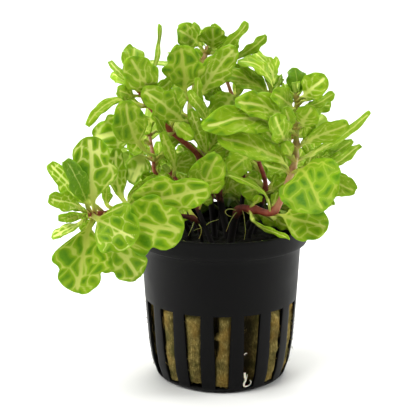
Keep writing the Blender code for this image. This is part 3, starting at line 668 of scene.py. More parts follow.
def mainVeins(long, half, widths, e, strap, rng):  # (points, breadth at both ends, strength) of each
    look = leafVeins
    size = min(1.2, max(0.42, half / 7))
    midrib = np.array([[share * long, 0] for share in look["midrib"]])
    lines = [(midrib, (look["midribWide"] + 0.3 * strap) * size, look["midribTip"] * size, 1.0)]
    wide, tip = (look["sideWide"] + 0.14 * strap) * size, (look["sideTip"] - 0.04 * strap) * size
    pairs = look["smallSides"]
    if half > look["smallHalf"]:
        pairs = look["sides"] + look["strapSides"] * (strap > 0.45)
    for side, width in zip((-1, 1), widths):
        for first, final in pairs:
            a = first + rng.uniform(-0.02, 0.02) + (0.025 if side > 0 else -0.005)
            b = min(0.93, final + rng.uniform(-0.03, 0.03))
            reach = side * np.interp(b, e, width) * (0.86 - 0.06 * strap)
            bend = ((a + 0.3 * (b - a)) * long, reach * (0.45 + 0.2 * strap))
            rib = quadratic((a * long, 0), bend, (b * long, reach), 7)
            lines.append((rib, wide, tip, 1 - 0.45 * strap))
    return lines


def veinWeb(where, long, half, breadth, strap, rng):  # how far the net of small veins is, and its breadth
    grain = float(np.interp(half, leafVeins["cellHalves"], leafVeins["cells"])) * (1 + 0.35 * strap)
    stretch, slant = 1.15 + 0.35 * strap, 0.6 + 0.5 * strap
    seeds = []
    for side in (-1, 1):
        for j in range(int(half / grain / 0.8) + 2):
            q = (0.45 + j) * grain * 0.82
            for i in range(-3, int(long / grain) + 3):
                seeds.append(((i + 0.5 * (j % 2)) * grain * stretch + slant * q, side * q))
    uneven = rng.normal(0, leafVeins["webUneven"] * grain, (len(seeds), 2))
    seeds = np.array(seeds) + uneven * (1, 0.8)
    far = np.hypot(where[:, None, 0] - seeds[None, :, 0], where[:, None, 1] - seeds[None, :, 1])
    order = np.argpartition(far, 2, axis=1)[:, :3]
    order = np.take_along_axis(order, np.argsort(np.take_along_axis(far, order, 1), 1), 1)
    close = np.take_along_axis(far, order, 1)
    soft = leafVeins["webSoft"] * grain
    total = np.zeros(len(where))
    for k in (1, 2):
        gap = np.hypot(*(seeds[order[:, k]] - seeds[order[:, 0]]).T)
        total += np.exp(-(close[:, k] ** 2 - close[:, 0] ** 2) / (2 * gap) / soft)
    wide, more = leafVeins["webWide"]
    return np.maximum(0, -soft * np.log(total)), (wide + more * grain) * breadth


def stray(where, wavelength, amount, rng):  # smooth wandering, so that nothing grows in straight lines
    shift = np.zeros_like(where)
    for _ in range(5):
        run = rng.normal(0, 1, 2)
        run *= 2 * np.pi / wavelength / np.hypot(*run) * rng.uniform(0.7, 1.4)
        shift += np.sin(where @ run + rng.uniform(0, 6.28))[:, None] * rng.normal(0, 1, 2)
    return shift * amount / 2.2  # the spread of five such waves


def veinField(where, lines, web, wide, breadth, strength):  # how much vein is where, and how far away
    bare = 1 - strength * np.exp(-((web / wide) ** 2))
    nearest = np.maximum(0, web - 0.4 * wide)
    for points, first, last, strong in lines:
        thick = np.linspace(first, last, len(points))
        band = np.zeros(len(where))
        for a, b, w in zip(points[:-1], points[1:], thick):
            run = b - a
            t = np.clip(((where - a) @ run) / max(1e-9, run @ run), 0, 1)
            apart = np.hypot(*(where - a - t[:, None] * run).T)
            band = np.maximum(band, np.exp(-((apart / (w * breadth)) ** 2)))
            nearest = np.minimum(nearest, np.maximum(0, apart - 0.4 * w))
        bare *= 1 - strong * band
    return 1 - bare, nearest


def stalkFrames(shape, broad, foot):  # frames, half widths and shares, from the stem to the blade's foot
    frames, edge, share = [], [], []
    side, normal = frameAt(shape, 0.0, leafBlade["turning"])[1:]
    if shape["node"] is not None:
        low = shape["node"] - shape["along"] * 1.5
        bend = low + shape["along"] * 0.7 + shape["out"] * 1.2
        for k in (0.1, 0.4, 0.7):
            centre = low * (1 - k) ** 2 + bend * 2 * k * (1 - k) + shape["handles"][0] * k * k
            frames.append((centre, side, normal))
            edge.append(0.9 - 0.2 * k)
            share.append(-1 + 0.4 * k)
    rings = round(shape["stalk"] * shape["length"] / leafBlade["stalkSpacing"])
    for k in (i / rings for i in range(rings)):
        frames.append(frameAt(shape, k * shape["stalk"], leafBlade["turning"]))
        edge.append(max(broad, petioleWide / 2 + (foot - petioleWide / 2) * k**1.5) + 0.1 * (1 - k) ** 2)
        share.append(-0.5 + 0.5 * k)
    return frames, edge, share


def closedQuads(grid):  # faces of a sheet of points, of its underside, whose points follow, and of its rim
    under = grid.size
    a, b, c, d = (corner.ravel() for corner in (grid[:-1, :-1], grid[:-1, 1:], grid[1:, 1:], grid[1:, :-1]))
    quads = [np.stack([a, b, c, d], -1), np.stack([d, c, b, a], -1) + under]
    for line, flip in ((grid[:, -1], False), (grid[:, 0], True), (grid[-1, :], True), (grid[0, :], False)):
        strip = np.stack([line[:-1], line[:-1] + under, line[1:] + under, line[1:]], -1)
        quads.append(strip[:, ::-1] if flip else strip)
    return np.concatenate(quads)


def fineLeaf(shape, rng, spacing):  # points, quads and attributes of one closed leaf
    look = leafBlade
    stalk, length, half, strap = (shape[k] for k in ("stalk", "length", "half", "strap"))
    long = length * (1 - stalk)
    size = min(1.0, half / look["fullHalf"])
    # rows along the blade, closer together at the tip, and columns across it
    u = np.linspace(0, 1, max(12, int(long / spacing)))
    e = np.where(u < 0.85, u, 0.85 + 0.15 * np.sin(0.5 * np.pi * (u - 0.85) / 0.15 * 0.94))
    x = np.linspace(-1, 1, max(8, int(2 * half / spacing)) | 1)
    widths = bladeWidths(e, half, strap, ovateShare.get(shape["name"], 0.0), rng)
    broad = petioleWide / 2 * (1 + 0.55 * strap * min(1.0, half / 4))
    frames, edge, share = stalkFrames(shape, broad, widths[0][0])
    frames += [frameAt(shape, stalk + (1 - stalk) * k, look["turning"]) for k in e]
    centres, sides, normals = (np.array([f[i] for f in frames]) for i in range(3))
    left, right = (np.concatenate([edge, np.maximum(w, broad * (e < 0.2))])[:, None] for w in widths)
    along = np.concatenate([share, e])[:, None]
    onBlade = along.clip(0, 1)
    wide = np.where(x < 0, left, right)
    q = wide * x  # mm from the middle line, and s along it
    s = np.concatenate([np.linspace(-stalk * length - 1, -0.3, len(edge)), e * long])[:, None] + 0 * x

    # the veins
    plain = (rng.uniform(0.15, 0.5), rng.uniform(0.2, 0.7), rng.uniform(0.85, 1.15), 0)
    pale, deep, breadth, green = leafTints.get(shape["name"], plain)
    lines = mainVeins(long, half, widths, e, strap, rng)
    where = np.stack([s.ravel(), q.ravel()], 1)
    loose = np.minimum(1.0, np.abs(where[:, 1:]) / (0.3 * half))
    (longWave, far), (shortWave, near) = leafVeins["wander"]
    where = where + loose * (stray(where, longWave, far * size, rng) + stray(where, shortWave, near, rng))
    web, wideWeb = veinWeb(where, long, half, breadth, strap, rng)
    wavelength, most = leafVeins["fading"]
    fade = 1 + most * stray(where, wavelength, 1.0, rng)[:, 0].clip(-1, 1)
    strength = fade * (leafVeins["web"] - leafVeins["webStrap"] * strap)
    field = veinField(where, lines, web, wideWeb, breadth, strength)
    vein, nearest = (v.reshape(q.shape) for v in field)
    rim = np.exp(-(((wide - np.abs(q)) / (look["rim"] + 0.015 * half)) ** 2)) * np.clip(along / 0.15, 0, 1)
    rim = np.maximum(rim, np.exp(-(((1 - along) * long / look["rimTip"]) ** 2)))
    cell = 1 - np.exp(-((nearest / look["cell"]) ** 2))
    opened = np.clip(along / look["foot"], 0, 1)
    blade = opened**2 * (3 - 2 * opened)  # 0 on the stalk

    # height of the middle surface: folded, quilted, waved at the margin
    phases = rng.uniform(0, 2 * np.pi, 2)
    wave = np.sin(2 * np.pi * along * rng.uniform(*look["waves"]) + np.where(x < 0, phases[0], phases[1]))
    ruffle = look["ruffle"] * (1 + 0.7 * strap) * np.abs(x) ** 3 * wave * (0.3 + onBlade)
    height = foldSlope * np.maximum(0, wide - foldStart) * np.abs(x) ** 1.2
    height = height + blade * size * (look["quilt"] * cell * (1 - rim) + ruffle)
    height = height + blade * look["strapWave"] * strap * size * np.sin(2 * np.pi * along * 1.4 + phases[0])
    height = height - blade * look["droop"] * size * np.abs(x) ** 5
    lamina = look["thick"] / 2 * (1 - 0.55 * x**8)
    stalkHalf = look["petiole"] * np.sqrt(np.maximum(0, 1 - x**2)) + 0.03
    keel = look["keel"] * np.exp(-((q / (0.45 * size + 0.15)) ** 2)) * (1 - 0.75 * onBlade)
    upper = (1 - blade) * stalkHalf + blade * (lamina - look["furrow"] * vein * size)
    lower = (1 - blade) * stalkHalf + blade * (lamina + (keel + look["ridge"] * vein) * size)
    middle = centres[:, None] + sides[:, None] * q[..., None] + normals[:, None] * height[..., None]
    top = middle + normals[:, None] * upper[..., None]
    bottom = middle - normals[:, None] * lower[..., None]
    points = np.concatenate([top.reshape(-1, 3), bottom.reshape(-1, 3)])

    # the leaves low inside the crown are darkened: painted shade where the crown shades them
    fromAxis = np.hypot(*points[:, :2].T)
    places = (-points[:, 2], -fromAxis, points[:, 1])
    shadeFall = [np.clip((v + start) / over, 0, 1) for v, (start, over) in zip(places, look["shadeFall"])]
    flat = np.ones(q.shape)
    blush = np.clip(1 - (along + 1) / 0.45, 0, 1) + 0 * q
    vein = np.maximum(vein * (1 - 0.75 * rim) * (1 - 0.6 * green), 0.8 * (1 - blade))
    cell = np.maximum(cell, green * blade)
    pale = (flat * pale * (0.3 + 0.95 * onBlade**1.5) + 0.2 * strap * (1 - onBlade)).clip(0, 1)
    values = {  # on the face, and underneath
        "vein": (vein, vein), "rim": (rim, rim), "cell": (cell, cell * 0.6),
        "under": (0 * flat, flat * (1 - green)),
        "pale": (pale, pale), "deep": (flat * deep, flat * deep), "blush": (blush, blush),
    }
    values = {name: np.stack(pair).ravel() for name, pair in values.items()}
    # painted shade: deep low inside the crown, slight on leaves that are green all over
    values["paintedShade"] = np.maximum(np.prod(shadeFall, axis=0), 0.15 * green)
    return points, closedQuads(np.arange(q.size).reshape(q.shape)), values


def meshFrom(name, points, faces, values):  # points in mm, faces as an array of quads
    data = bpy.data.meshes.new(name)
    data.vertices.add(len(points))
    data.vertices.foreach_set("co", (np.asarray(points, float) * mm).ravel())
    data.loops.add(faces.size)
    data.loops.foreach_set("vertex_index", faces.ravel().astype(np.int32))
    data.polygons.add(len(faces))
    data.polygons.foreach_set("loop_start", np.arange(0, faces.size, faces.shape[1], dtype=np.int32))
    data.polygons.foreach_set("use_smooth", np.ones(len(faces), bool))
    addFloats(data, values)
    data.update(calc_edges=True)
    data.validate()
    return data


def addPiece(name, data, nodes=(), material=None):
    piece = bpy.data.objects.new(name, data)
    bpy.context.scene.collection.objects.link(piece)
    if material:
        data.materials.clear()
        data.materials.append(material)
    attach(piece, "root")
    if nodes:
        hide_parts(*nodes)


# young leaves, still upright, in crossed pairs round the tip of a shoot
budTip = {
    "pairs": ((6.5, 0.95, -0.6), (4.2, 0.6, 0.1), (2.6, 0.3, 0.5)),  # length, lean, and mm above the tip
    "size": {"left": 0.5, "right": 0.9, "centre": 0.7},
    "plainSize": 0.8,
}


def budLeaves(name, path, rng):
    tip = path[-1]
    along = (path[-1] - path[-3]).normalized()
    start = square(Vector(rng.normal(0, 1, 3)), along)
    shapes = []
    for ring, (length, lean, lift) in enumerate(budTip["pairs"]):
        for turn in (0, 180):
            out = Quaternion(along, math.radians(turn + 90 * ring + 25)) @ start
            base = tip + along * lift + out * 0.35
            grow = length * rng.uniform(0.85, 1.15) * budTip["size"].get(name, budTip["plainSize"])
            end = base + (out * lean + along).normalized() * grow
            handles = [base, base + (out * lean * 1.4 + along).normalized() * grow * 0.35,
                       end - (out * lean * 0.5 + along).normalized() * grow * 0.35, end]
            face = square(along - out * 0.6, (end - base).normalized())
            shapes.append({
                "handles": handles, "along": along, "out": out, "node": None, "face": face,
                "stalk": 0.1, "half": grow * 0.19, "length": grow, "name": f"{name}_bud_{ring}_{turn}",
            })
    return shapes


# settings that many nodes of the materials share
mixing = ("ShaderNodeMix", {"data_type": "RGBA"})
product = ("ShaderNodeMath", {"operation": "MULTIPLY"})
sumOf = ("ShaderNodeMath", {"operation": "ADD"})
scaled = ("ShaderNodeMath", {"operation": "MULTIPLY_ADD"})


def leafMaterial():
    # Living leaf, variegated: a thin waxed skin over green tissue, white-yellow where it lacks chlorophyll.
    # Satin on the face, matt and paler underneath; thin enough that light comes through.
    material, tree, skin = newMaterial("variegated living leaf", {
        "IOR": 1.45, "Specular IOR Level": 0.13,
        "Subsurface Weight": 0.16, "Subsurface Radius": (0.7, 1.0, 0.25), "Subsurface Scale": 0.7 * mm,
    })
    places = addNode(tree, "ShaderNodeTexCoord").outputs["Object"]
    names = ("vein", "rim", "cell", "under", "pale", "deep", "blush", "paintedShade")
    read = [addNode(tree, "ShaderNodeAttribute", {"attribute_name": name}) for name in names]
    vein, rim, cell, under, pale, deep, blush, paintedShade = (node.outputs["Fac"] for node in read)
    cloud = addNode(tree, "ShaderNodeTexNoise", in0=places, in2=1 / (7 * mm), in3=2.0, in4=0.5).outputs[0]
    fine = addNode(tree, "ShaderNodeTexNoise", in0=places, in2=1 / (0.8 * mm), in3=3.0, in4=0.6).outputs[0]
    edges = {"feature": "DISTANCE_TO_EDGE"}
    net = addNode(tree, "ShaderNodeTexVoronoi", edges, in0=places, in2=1 / (0.75 * mm)).outputs["Distance"]
    # cells: darker in their middles, uneven from place to place
    light = addNode(tree, *mixing, in0=cloud, in6=tint("#7aa00f"), in7=tint("#8fae1c"))
    dark = addNode(tree, *mixing, in0=deep, in6=tint("#5c8f06"), in7=tint("#2b6602"))
    depth = addNode(tree, "ShaderNodeMapRange", in0=cell, in1=0.25, in2=0.95, in3=0.0, in4=0.95)
    grain = addNode(tree, "ShaderNodeMapRange", in0=fine, in1=0.35, in2=0.65, in3=0.82, in4=1.1)
    depth = addNode(tree, *product, in0=depth.outputs[0], in1=grain.outputs[0])
    depth.use_clamp = True
    green = addNode(tree, *mixing, in0=depth.outputs[0], in6=light.outputs[2], in7=dark.outputs[2])
    # veins: soft-edged bands from lime to pale yellow
    edge = addNode(tree, *scaled, in0=fine, in1=0.16, in2=-0.08)
    band = addNode(tree, *sumOf, in0=vein, in1=edge.outputs[0])
    soft = {"interpolation_type": "SMOOTHSTEP"}
    band = addNode(tree, "ShaderNodeMapRange", soft, in0=band.outputs[0], in1=0.2, in2=0.85)
    lime = addNode(tree, *mixing, in0=pale, in6=tint("#a8b838"), in7=tint("#e8ef8e"))
    colour = addNode(tree, *mixing, in0=band.outputs[0], in6=green.outputs[2], in7=lime.outputs[2])
    # over these the greener margin, the paler underside, the flushed stalk and the painted shade low in the
    # crown
    covers = (
        (rim, 0.55, "#7ba31c"), (under, 0.6, "#93ab45"), (blush, 0.8, "#a8764a"), (paintedShade, 0.9, "#0c2403"),
    )
    for place, most, code in covers:
        share = addNode(tree, *product, in0=place, in1=most)
        colour = addNode(tree, *mixing, in0=share.outputs[0], in6=colour.outputs[2], in7=tint(code))
    tree.links.new(colour.outputs[2], skin.inputs["Base Color"])
    gloss = addNode(tree, "ShaderNodeMapRange", in0=under, in3=0.4, in4=0.62)
    gloss = addNode(tree, *scaled, in0=fine, in1=0.12, in2=gloss.outputs[0])
    tree.links.new(gloss.outputs[0], skin.inputs["Roughness"])
    pores = addNode(tree, "ShaderNodeMapRange", in0=net, in1=0.0, in2=0.25)
    relief = addNode(tree, "ShaderNodeBump", in0=0.35, in1=0.06 * mm, in3=pores.outputs[0])
    tree.links.new(relief.outputs[0], skin.inputs["Normal"])
    return material


def stemMaterial():
    # Living stem: red skin low down, thinning to pale green where it is young; satin, finely ribbed; near
    # black at its feet, which is painted shade.
    material, tree, skin = newMaterial("living stem skin", {
        "Specular IOR Level": 0.3,
        "Subsurface Weight": 0.15, "Subsurface Radius": (1.0, 0.5, 0.3), "Subsurface Scale": 0.6 * mm,
    })
    places = addNode(tree, "ShaderNodeTexCoord").outputs["Object"]
    mottle = addNode(tree, "ShaderNodeTexNoise", in0=places, in2=1 / (1.6 * mm), in3=3.0).outputs[0]
    age = addNode(tree, "ShaderNodeAttribute", {"attribute_name": "age"}).outputs["Fac"]
    knot = addNode(tree, "ShaderNodeAttribute", {"attribute_name": "knot"}).outputs["Fac"]
    shift = addNode(tree, *scaled, in0=mottle, in1=0.36, in2=-0.18)
    place = addNode(tree, *sumOf, in0=age, in1=shift.outputs[0])
    place.use_clamp = True
    ramp = addNode(tree, "ShaderNodeValToRGB", in0=place.outputs[0])
    stops = ramp.color_ramp.elements
    # the near black last stop is painted shade, reached at the stems' feet
    stops[0].color, stops[1].color = tint("#98a53e"), tint("#080302")
    reds = ((0.25, "#b29c5c"), (0.42, "#b5805f"), (0.6, "#a2543c"), (0.78, "#7a2b19"), (0.9, "#3f130b"))
    for where, code in reds:
        stops.new(where).color = tint(code)
    joint = addNode(tree, *product, in0=knot, in1=0.5)
    colour = addNode(tree, *mixing, in0=joint.outputs[0], in6=ramp.outputs[0], in7=tint("#7a3a26"))
    tree.links.new(colour.outputs[2], skin.inputs["Base Color"])
    gloss = addNode(tree, "ShaderNodeMapRange", in0=place.outputs[0], in1=0.7, in2=1.0, in3=0.4, in4=0.9)
    tree.links.new(gloss.outputs[0], skin.inputs["Roughness"])
    relief = addNode(tree, "ShaderNodeBump", in0=0.3, in1=0.1 * mm, in3=mottle)
    tree.links.new(relief.outputs[0], skin.inputs["Normal"])
    return material


def potMaterial():
    # Polypropylene, injection moulded, filled with carbon black: a fine eroded grain, so a wide soft sheen.
    # The grain is drawn at 0.3 mm, coarser than it is, so that it shows.
    material, tree, skin = newMaterial("black polypropylene", {"IOR": 1.49, "Specular IOR Level": 0.1})
    places = addNode(tree, "ShaderNodeTexCoord").outputs["Object"]
    grain = addNode(tree, "ShaderNodeTexNoise", in0=places, in2=1 / (0.3 * mm), in3=2.0).outputs[0]
    cloud = addNode(tree, "ShaderNodeTexNoise", in0=places, in2=1 / (9 * mm), in3=3.0).outputs[0]
    smear = addNode(tree, "ShaderNodeMapRange", in0=cloud, in1=0.4, in2=0.7)
    colour = addNode(tree, *mixing, in0=smear.outputs[0], in6=tint("#030303"), in7=tint("#060506"))
    tree.links.new(colour.outputs[2], skin.inputs["Base Color"])
    gloss = addNode(tree, "ShaderNodeMapRange", in0=cloud, in1=0.3, in2=0.7, in3=0.4, in4=0.52)
    tree.links.new(gloss.outputs[0], skin.inputs["Roughness"])
    relief = addNode(tree, "ShaderNodeBump", in0=0.25, in1=0.04 * mm, in3=grain)
    tree.links.new(relief.outputs[0], skin.inputs["Normal"])
    return material


def woolMaterial():
    # Spun mineral wool, stained: matt felted fibres, ochre where dry; near black in its grooves and tears,
    # which is painted shade, and on its mossy top.
    material, tree, skin = newMaterial("mineral wool", {"Roughness": 0.95, "Specular IOR Level": 0.15})
    places = addNode(tree, "ShaderNodeTexCoord").outputs["Object"]
    tall = addNode(tree, "ShaderNodeMapping", in0=places, in3=(1.0, 1.0, 0.35)).outputs[0]
    strand = addNode(tree, "ShaderNodeTexNoise", in0=tall, in2=1 / (0.45 * mm), in3=4.0, in4=0.7).outputs[0]
    patch = addNode(tree, "ShaderNodeTexNoise", in0=places, in2=1 / (2.6 * mm), in3=4.0).outputs[0]
    drift = addNode(tree, "ShaderNodeTexNoise", in0=places, in2=1 / (7 * mm), in3=2.0).outputs[0]
    ramp = addNode(tree, "ShaderNodeValToRGB", in0=strand)
    stops = ramp.color_ramp.elements
    stops[0].position, stops[1].position = 0.25, 0.75
    stops[0].color, stops[1].color = tint("#3a3217"), tint("#b09f60")
    stops.new(0.5).color = tint("#746634")
    colour = ramp.outputs[0]
    # brown stains, dry ochre drifts and algae green ones: from where to where in the noise, and how much
    stains = (
        (patch, 0.4, 0.66, 0.8, "#433a17"), (drift, 0.52, 0.68, 0.4, "#94702c"),
        (drift, 0.5, 0.36, 0.65, "#363a16"),
    )
    for spread, low, high, most, code in stains:
        share = addNode(tree, "ShaderNodeMapRange", in0=spread, in1=low, in2=high, in3=0.0, in4=most)
        colour = addNode(tree, *mixing, in0=share.outputs[0], in6=colour, in7=tint(code)).outputs[2]
    # painted shade: the grooves and tears of the side go near black
    recessShade = addNode(tree, "ShaderNodeAttribute", {"attribute_name": "recessShade"}).outputs["Fac"]
    mossAndShade = addNode(tree, "ShaderNodeAttribute", {"attribute_name": "mossAndShade"}).outputs["Fac"]
    colour = addNode(tree, *mixing, in0=recessShade, in6=colour, in7=tint("#120b03")).outputs[2]
    # the mossy top: real moss, made near black as painted shade under the crown
    mossInShade = addNode(tree, *mixing, in0=strand, in6=tint("#030200"), in7=tint("#0e0d03")).outputs[2]
    colour = addNode(tree, *mixing, in0=mossAndShade, in6=colour, in7=mossInShade).outputs[2]
    tree.links.new(colour, skin.inputs["Base Color"])
    relief = addNode(tree, "ShaderNodeBump", in0=0.9, in1=0.35 * mm, in3=strand)
    tree.links.new(relief.outputs[0], skin.inputs["Normal"])
    return material


def rootMaterial(name, young, old):
    # Root: a moist translucent skin, paler where it is young.
    finish = {"Roughness": 0.45, "Subsurface Weight": 0.2, "Subsurface Scale": 0.5 * mm}
    material, tree, skin = newMaterial(name, finish)
    places = addNode(tree, "ShaderNodeTexCoord").outputs["Object"]
    mottle = addNode(tree, "ShaderNodeTexNoise", in0=places, in2=1 / (1.0 * mm), in3=3.0).outputs[0]
    age = addNode(tree, "ShaderNodeAttribute", {"attribute_name": "age"}).outputs["Fac"]
    place = addNode(tree, *product, in0=age, in1=mottle)
    place.use_clamp = True
    colour = addNode(tree, *mixing, in0=place.outputs[0], in6=tint(young), in7=tint(old))
    tree.links.new(colour.outputs[2], skin.inputs["Base Color"])
    relief = addNode(tree, "ShaderNodeBump", in0=0.3, in1=0.05 * mm, in3=mottle)
    tree.links.new(relief.outputs[0], skin.inputs["Normal"])
    return material


def newTree(name, wanted, result):  # a Geometry Nodes tree with its inputs and its one result
    tree = bpy.data.node_groups.new(name, "GeometryNodeTree")
    for title, kind in wanted:
        tree.interface.new_socket(title, in_out="INPUT", socket_type="NodeSocket" + kind)
    tree.interface.new_socket(result, in_out="OUTPUT", socket_type="NodeSocketGeometry")
    return tree, addNode(tree, "NodeGroupInput").outputs


def sweepTree(material):  # a round section swept along drawn lines, for stems and roots
    tree, given = newTree("round sweep", (("Lines", "Geometry"), ("Sides", "Int")), "Swept")
    thick = addNode(tree, "GeometryNodeInputNamedAttribute", {"data_type": "FLOAT"}, in0="thick").outputs[0]
    lines = addNode(tree, "GeometryNodeMeshToCurve", in0=given["Lines"]).outputs[0]
    ring = addNode(tree, "GeometryNodeCurvePrimitiveCircle", in0=given["Sides"], in4=1.0).outputs[0]
    swept = addNode(tree, "GeometryNodeCurveToMesh", in0=lines, in1=ring, in2=thick, in3=True).outputs[0]
    soft = addNode(tree, "GeometryNodeSetShadeSmooth", in0=swept).outputs[0]
    whole = addNode(tree, "GeometryNodeRealizeInstances", in0=soft).outputs[0]
    dressed = addNode(tree, "GeometryNodeSetMaterial", in0=whole, in2=material).outputs[0]
    addNode(tree, "NodeGroupOutput", in0=dressed)
    return tree


def runTree(name, data, tree, inputs):  # the tree's result as a plain mesh
    carrier = bpy.data.objects.new(name, data)
    bpy.context.scene.collection.objects.link(carrier)
    modifier = carrier.modifiers.new("grow", "NODES")
    modifier.node_group = tree
    for item in tree.interface.items_tree:
        if item.in_out == "INPUT" and item.name in inputs:
            modifier[item.identifier] = inputs[item.name]
    made = shapeOf(carrier)
    carrier.modifiers.remove(modifier)
    bpy.data.objects.remove(carrier)
    made.name = name
    return made


def linesMesh(name, lines):  # lines: lists of (point in mm, thick in mm, age, knot)
    points, thick, age, knot = zip(*[spot for line in lines for spot in line])
    edges, first = [], 0
    for line in lines:
        edges += [(first + i, first + i + 1) for i in range(len(line) - 1)]
        first += len(line)
    data = bpy.data.meshes.new(name)
    data.from_pydata([Vector(p) * mm for p in points], edges, [])
    addFloats(data, {"thick": [r * mm for r in thick], "age": age, "knot": knot})
    return data


# stems: how old, and so how red, each is from its foot to its tip; the near black oldest end is painted shade
stemLook = {
    "radius": 0.78, "tipRadius": 0.45, "sides": 14, "swell": 0.4, "swellReach": 1.1,
    "stout": {"right": 1.5, "upper_left": 1.25, "centre": 1.45},  # thicker shoots, by how much
    # (age, share of the length above the wool)
    "plain": [(0.95, 0.15), (0.85, 0.35), (0.6, 0.7), (0.2, 1.0)],
    "age": {
        "left": [(1.0, 0.1), (0.85, 0.4), (0.75, 1.0)],
        "upper_left": [(1.0, 0.1), (0.82, 0.4), (0.7, 0.8), (0.5, 1.0)],
        "right": [(1.0, 0.15), (0.86, 0.22), (0.74, 0.34), (0.48, 0.42), (0.42, 0.5), (0.3, 0.62),
                  (0.18, 0.72), (0.0, 0.8)],
        "centre": [(0.9, 0.2), (0.6, 0.36), (0.12, 0.45), (0.0, 0.75), (0.35, 1.0)],
        "left_middle": [(0.95, 0.2), (0.8, 0.5), (0.4, 0.9), (0.3, 1.0)],
        "front_left": [(0.95, 0.2), (0.85, 0.6), (0.6, 1.0)],
    },
    # mm, the heights over which a stem's near black foot ends: painted shade low inside the crown
    "foot": {"right": (46.0, 50.0, 53.0), "left": (46.0, 49.0, 52.0)},
    "plainShadedFoot": (47.0, 55.0, 61.0),
}


def stemLine(name, shoot):
    look = stemLook
    path = stemPath(shoot, 10)
    nodes = [seen(*node[0]) for node in shoot["nodes"]]
    ages, places = zip(*look["age"].get(name, look["plain"]))
    foot = look["foot"].get(name, look["plainShadedFoot"])
    run = [0.0]
    for a, b in zip(path, path[1:]):
        run.append(run[-1] + (b - a).length)
    line = []
    for point, far in zip(path, run):
        share = max(0.0, far - run[2]) / (run[-1] - run[2])
        near = min((point - node).length for node in nodes)
        swell = math.exp(-((near / look["swellReach"]) ** 2))
        r = look["radius"] + (look["tipRadius"] - look["radius"]) * share**1.5
        # below those heights the stem is pushed to the near black end: painted shade
        old = max(float(np.interp(share, places, ages)), float(np.interp(point.z, foot, (1.2, 1.1, 0.0))))
        line.append((point, r * look["stout"].get(name, 1.0) * (1 + look["swell"] * swell), old, swell))
    last = path[-1] + (path[-1] - path[-2]).normalized() * 0.8
    return line + [(last, 0.2, ages[-1], 0.0)]


# the net pot's wall, pierced by tapering slots, with drain slots in every other sector of its base
potShell = {
    "slots": 16, "turn": 0.6,  # degrees of the first slot's middle from the front
    "slotTop": 26.0, "slotFoot": 1.4, "wideTop": 5.6, "wideFoot": 4.0, "mostTurn": 10.6,
    "drainInner": 7.0, "drainOuter": 15.0, "drainWide": 2.6, "baseWide": 6,
    "slotSteps": 4, "ribSteps": 5,
    "edge": 0.16,  # mm, rounding of every moulded edge
}


def shellRows():  # (radius, height) of the outer face from the axis of the base to the lip
    rows = [(r, 0.0) for r in (3.0, 5.2, 7.0, 9.0, 11.0, 13.0, 15.0, 17.0, 18.7)]
    rows += [(19.35, 0.05), (19.95, 0.3), (20.5, 0.8)]
    radii, heights = zip(*potProfile[2:8])
    for z in list(np.linspace(1.4, 26, 22)) + list(np.linspace(27.2, 43.5, 12)):
        rows.append((float(np.interp(z, heights, radii)), float(z)))
    rows += [(25.42, 43.75), (25.9, 43.95), (26.7, 44.15), (27.15, 44.35), (27.32, 44.7)]
    rows += [(27.32 + 0.48 * t, 44.7 + 5.3 * t) for t in (0.2, 0.4, 0.6, 0.8, 1.0)]
    return rows


def slotHalf(r, z):  # half the angle of a slot
    look = potShell
    wide = float(np.interp(z, (look["slotFoot"], look["slotTop"]), (look["wideFoot"], look["wideTop"])))
    if z < look["slotFoot"] - 0.1:
        spread = max(0.0, (r - look["drainOuter"]) / look["baseWide"])
        wide = look["drainWide"] + (look["wideFoot"] - look["drainWide"]) * spread
    return min(math.radians(look["mostTurn"]), math.asin(min(0.9, wide / 2 / r)))


def makeShell():
    look = potShell
    rows = shellRows()
    sector = 2 * math.pi / look["slots"]
    steps = look["slotSteps"] + look["ribSteps"]
    total = steps * look["slots"]
    points = [Vector((0, 0, 0))]
    for r, z in rows:
        half = slotHalf(r, z)
        for k in range(look["slots"]):
            middle = math.radians(look["turn"]) + k * sector
            for j in range(steps):
                if j < look["slotSteps"]:
                    a = middle - half + 2 * half * j / look["slotSteps"]
                else:
                    a = middle + half + (sector - 2 * half) * (j - look["slotSteps"]) / look["ribSteps"]
                points.append(Vector((r * math.sin(a), -r * math.cos(a), z)))
    faces = [(0, 1 + (c + 1) % total, 1 + c) for c in range(total)]
    near = 0.01
    for i, ((r0, z0), (r1, z1)) in enumerate(zip(rows, rows[1:])):
        wall = z0 >= look["slotFoot"] - near and z1 <= look["slotTop"] + near
        drain = z1 == 0.0 and r0 >= look["drainInner"] - near and r1 <= look["drainOuter"] + near
        for c in range(total):
            inSlot, evenSector = c % steps < look["slotSteps"], (c // steps) % 2 == 0
            if inSlot and (wall or drain and evenSector):
                continue
            a, b = 1 + i * total + c, 1 + i * total + (c + 1) % total
            faces.append((a, b, b + total, a + total))
    data = bpy.data.meshes.new("pot_skin")
    data.from_pydata([p * mm for p in points], [], faces)
    built = bmesh.new()
    built.from_mesh(data)
    loose = [v for v in built.verts if not v.link_faces]
    bmesh.ops.delete(built, geom=loose, context="VERTS")
    for f in built.faces:
        f.smooth = True
    built.to_mesh(data)
    built.free()
    shell = bpy.data.objects.new("pot_skin", data)
    bpy.context.scene.collection.objects.link(shell)
    wall = shell.modifiers.new("wall", "SOLIDIFY")
    wall.thickness, wall.offset, wall.use_even_offset = potWall * mm, -1.0, True
    edge = shell.modifiers.new("edge", "BEVEL")
    edge.width, edge.segments = look["edge"] * mm, 2
    edge.limit_method, edge.angle_limit = "ANGLE", math.radians(40)
    made = shapeOf(shell)
    bpy.data.objects.remove(shell)
    return made


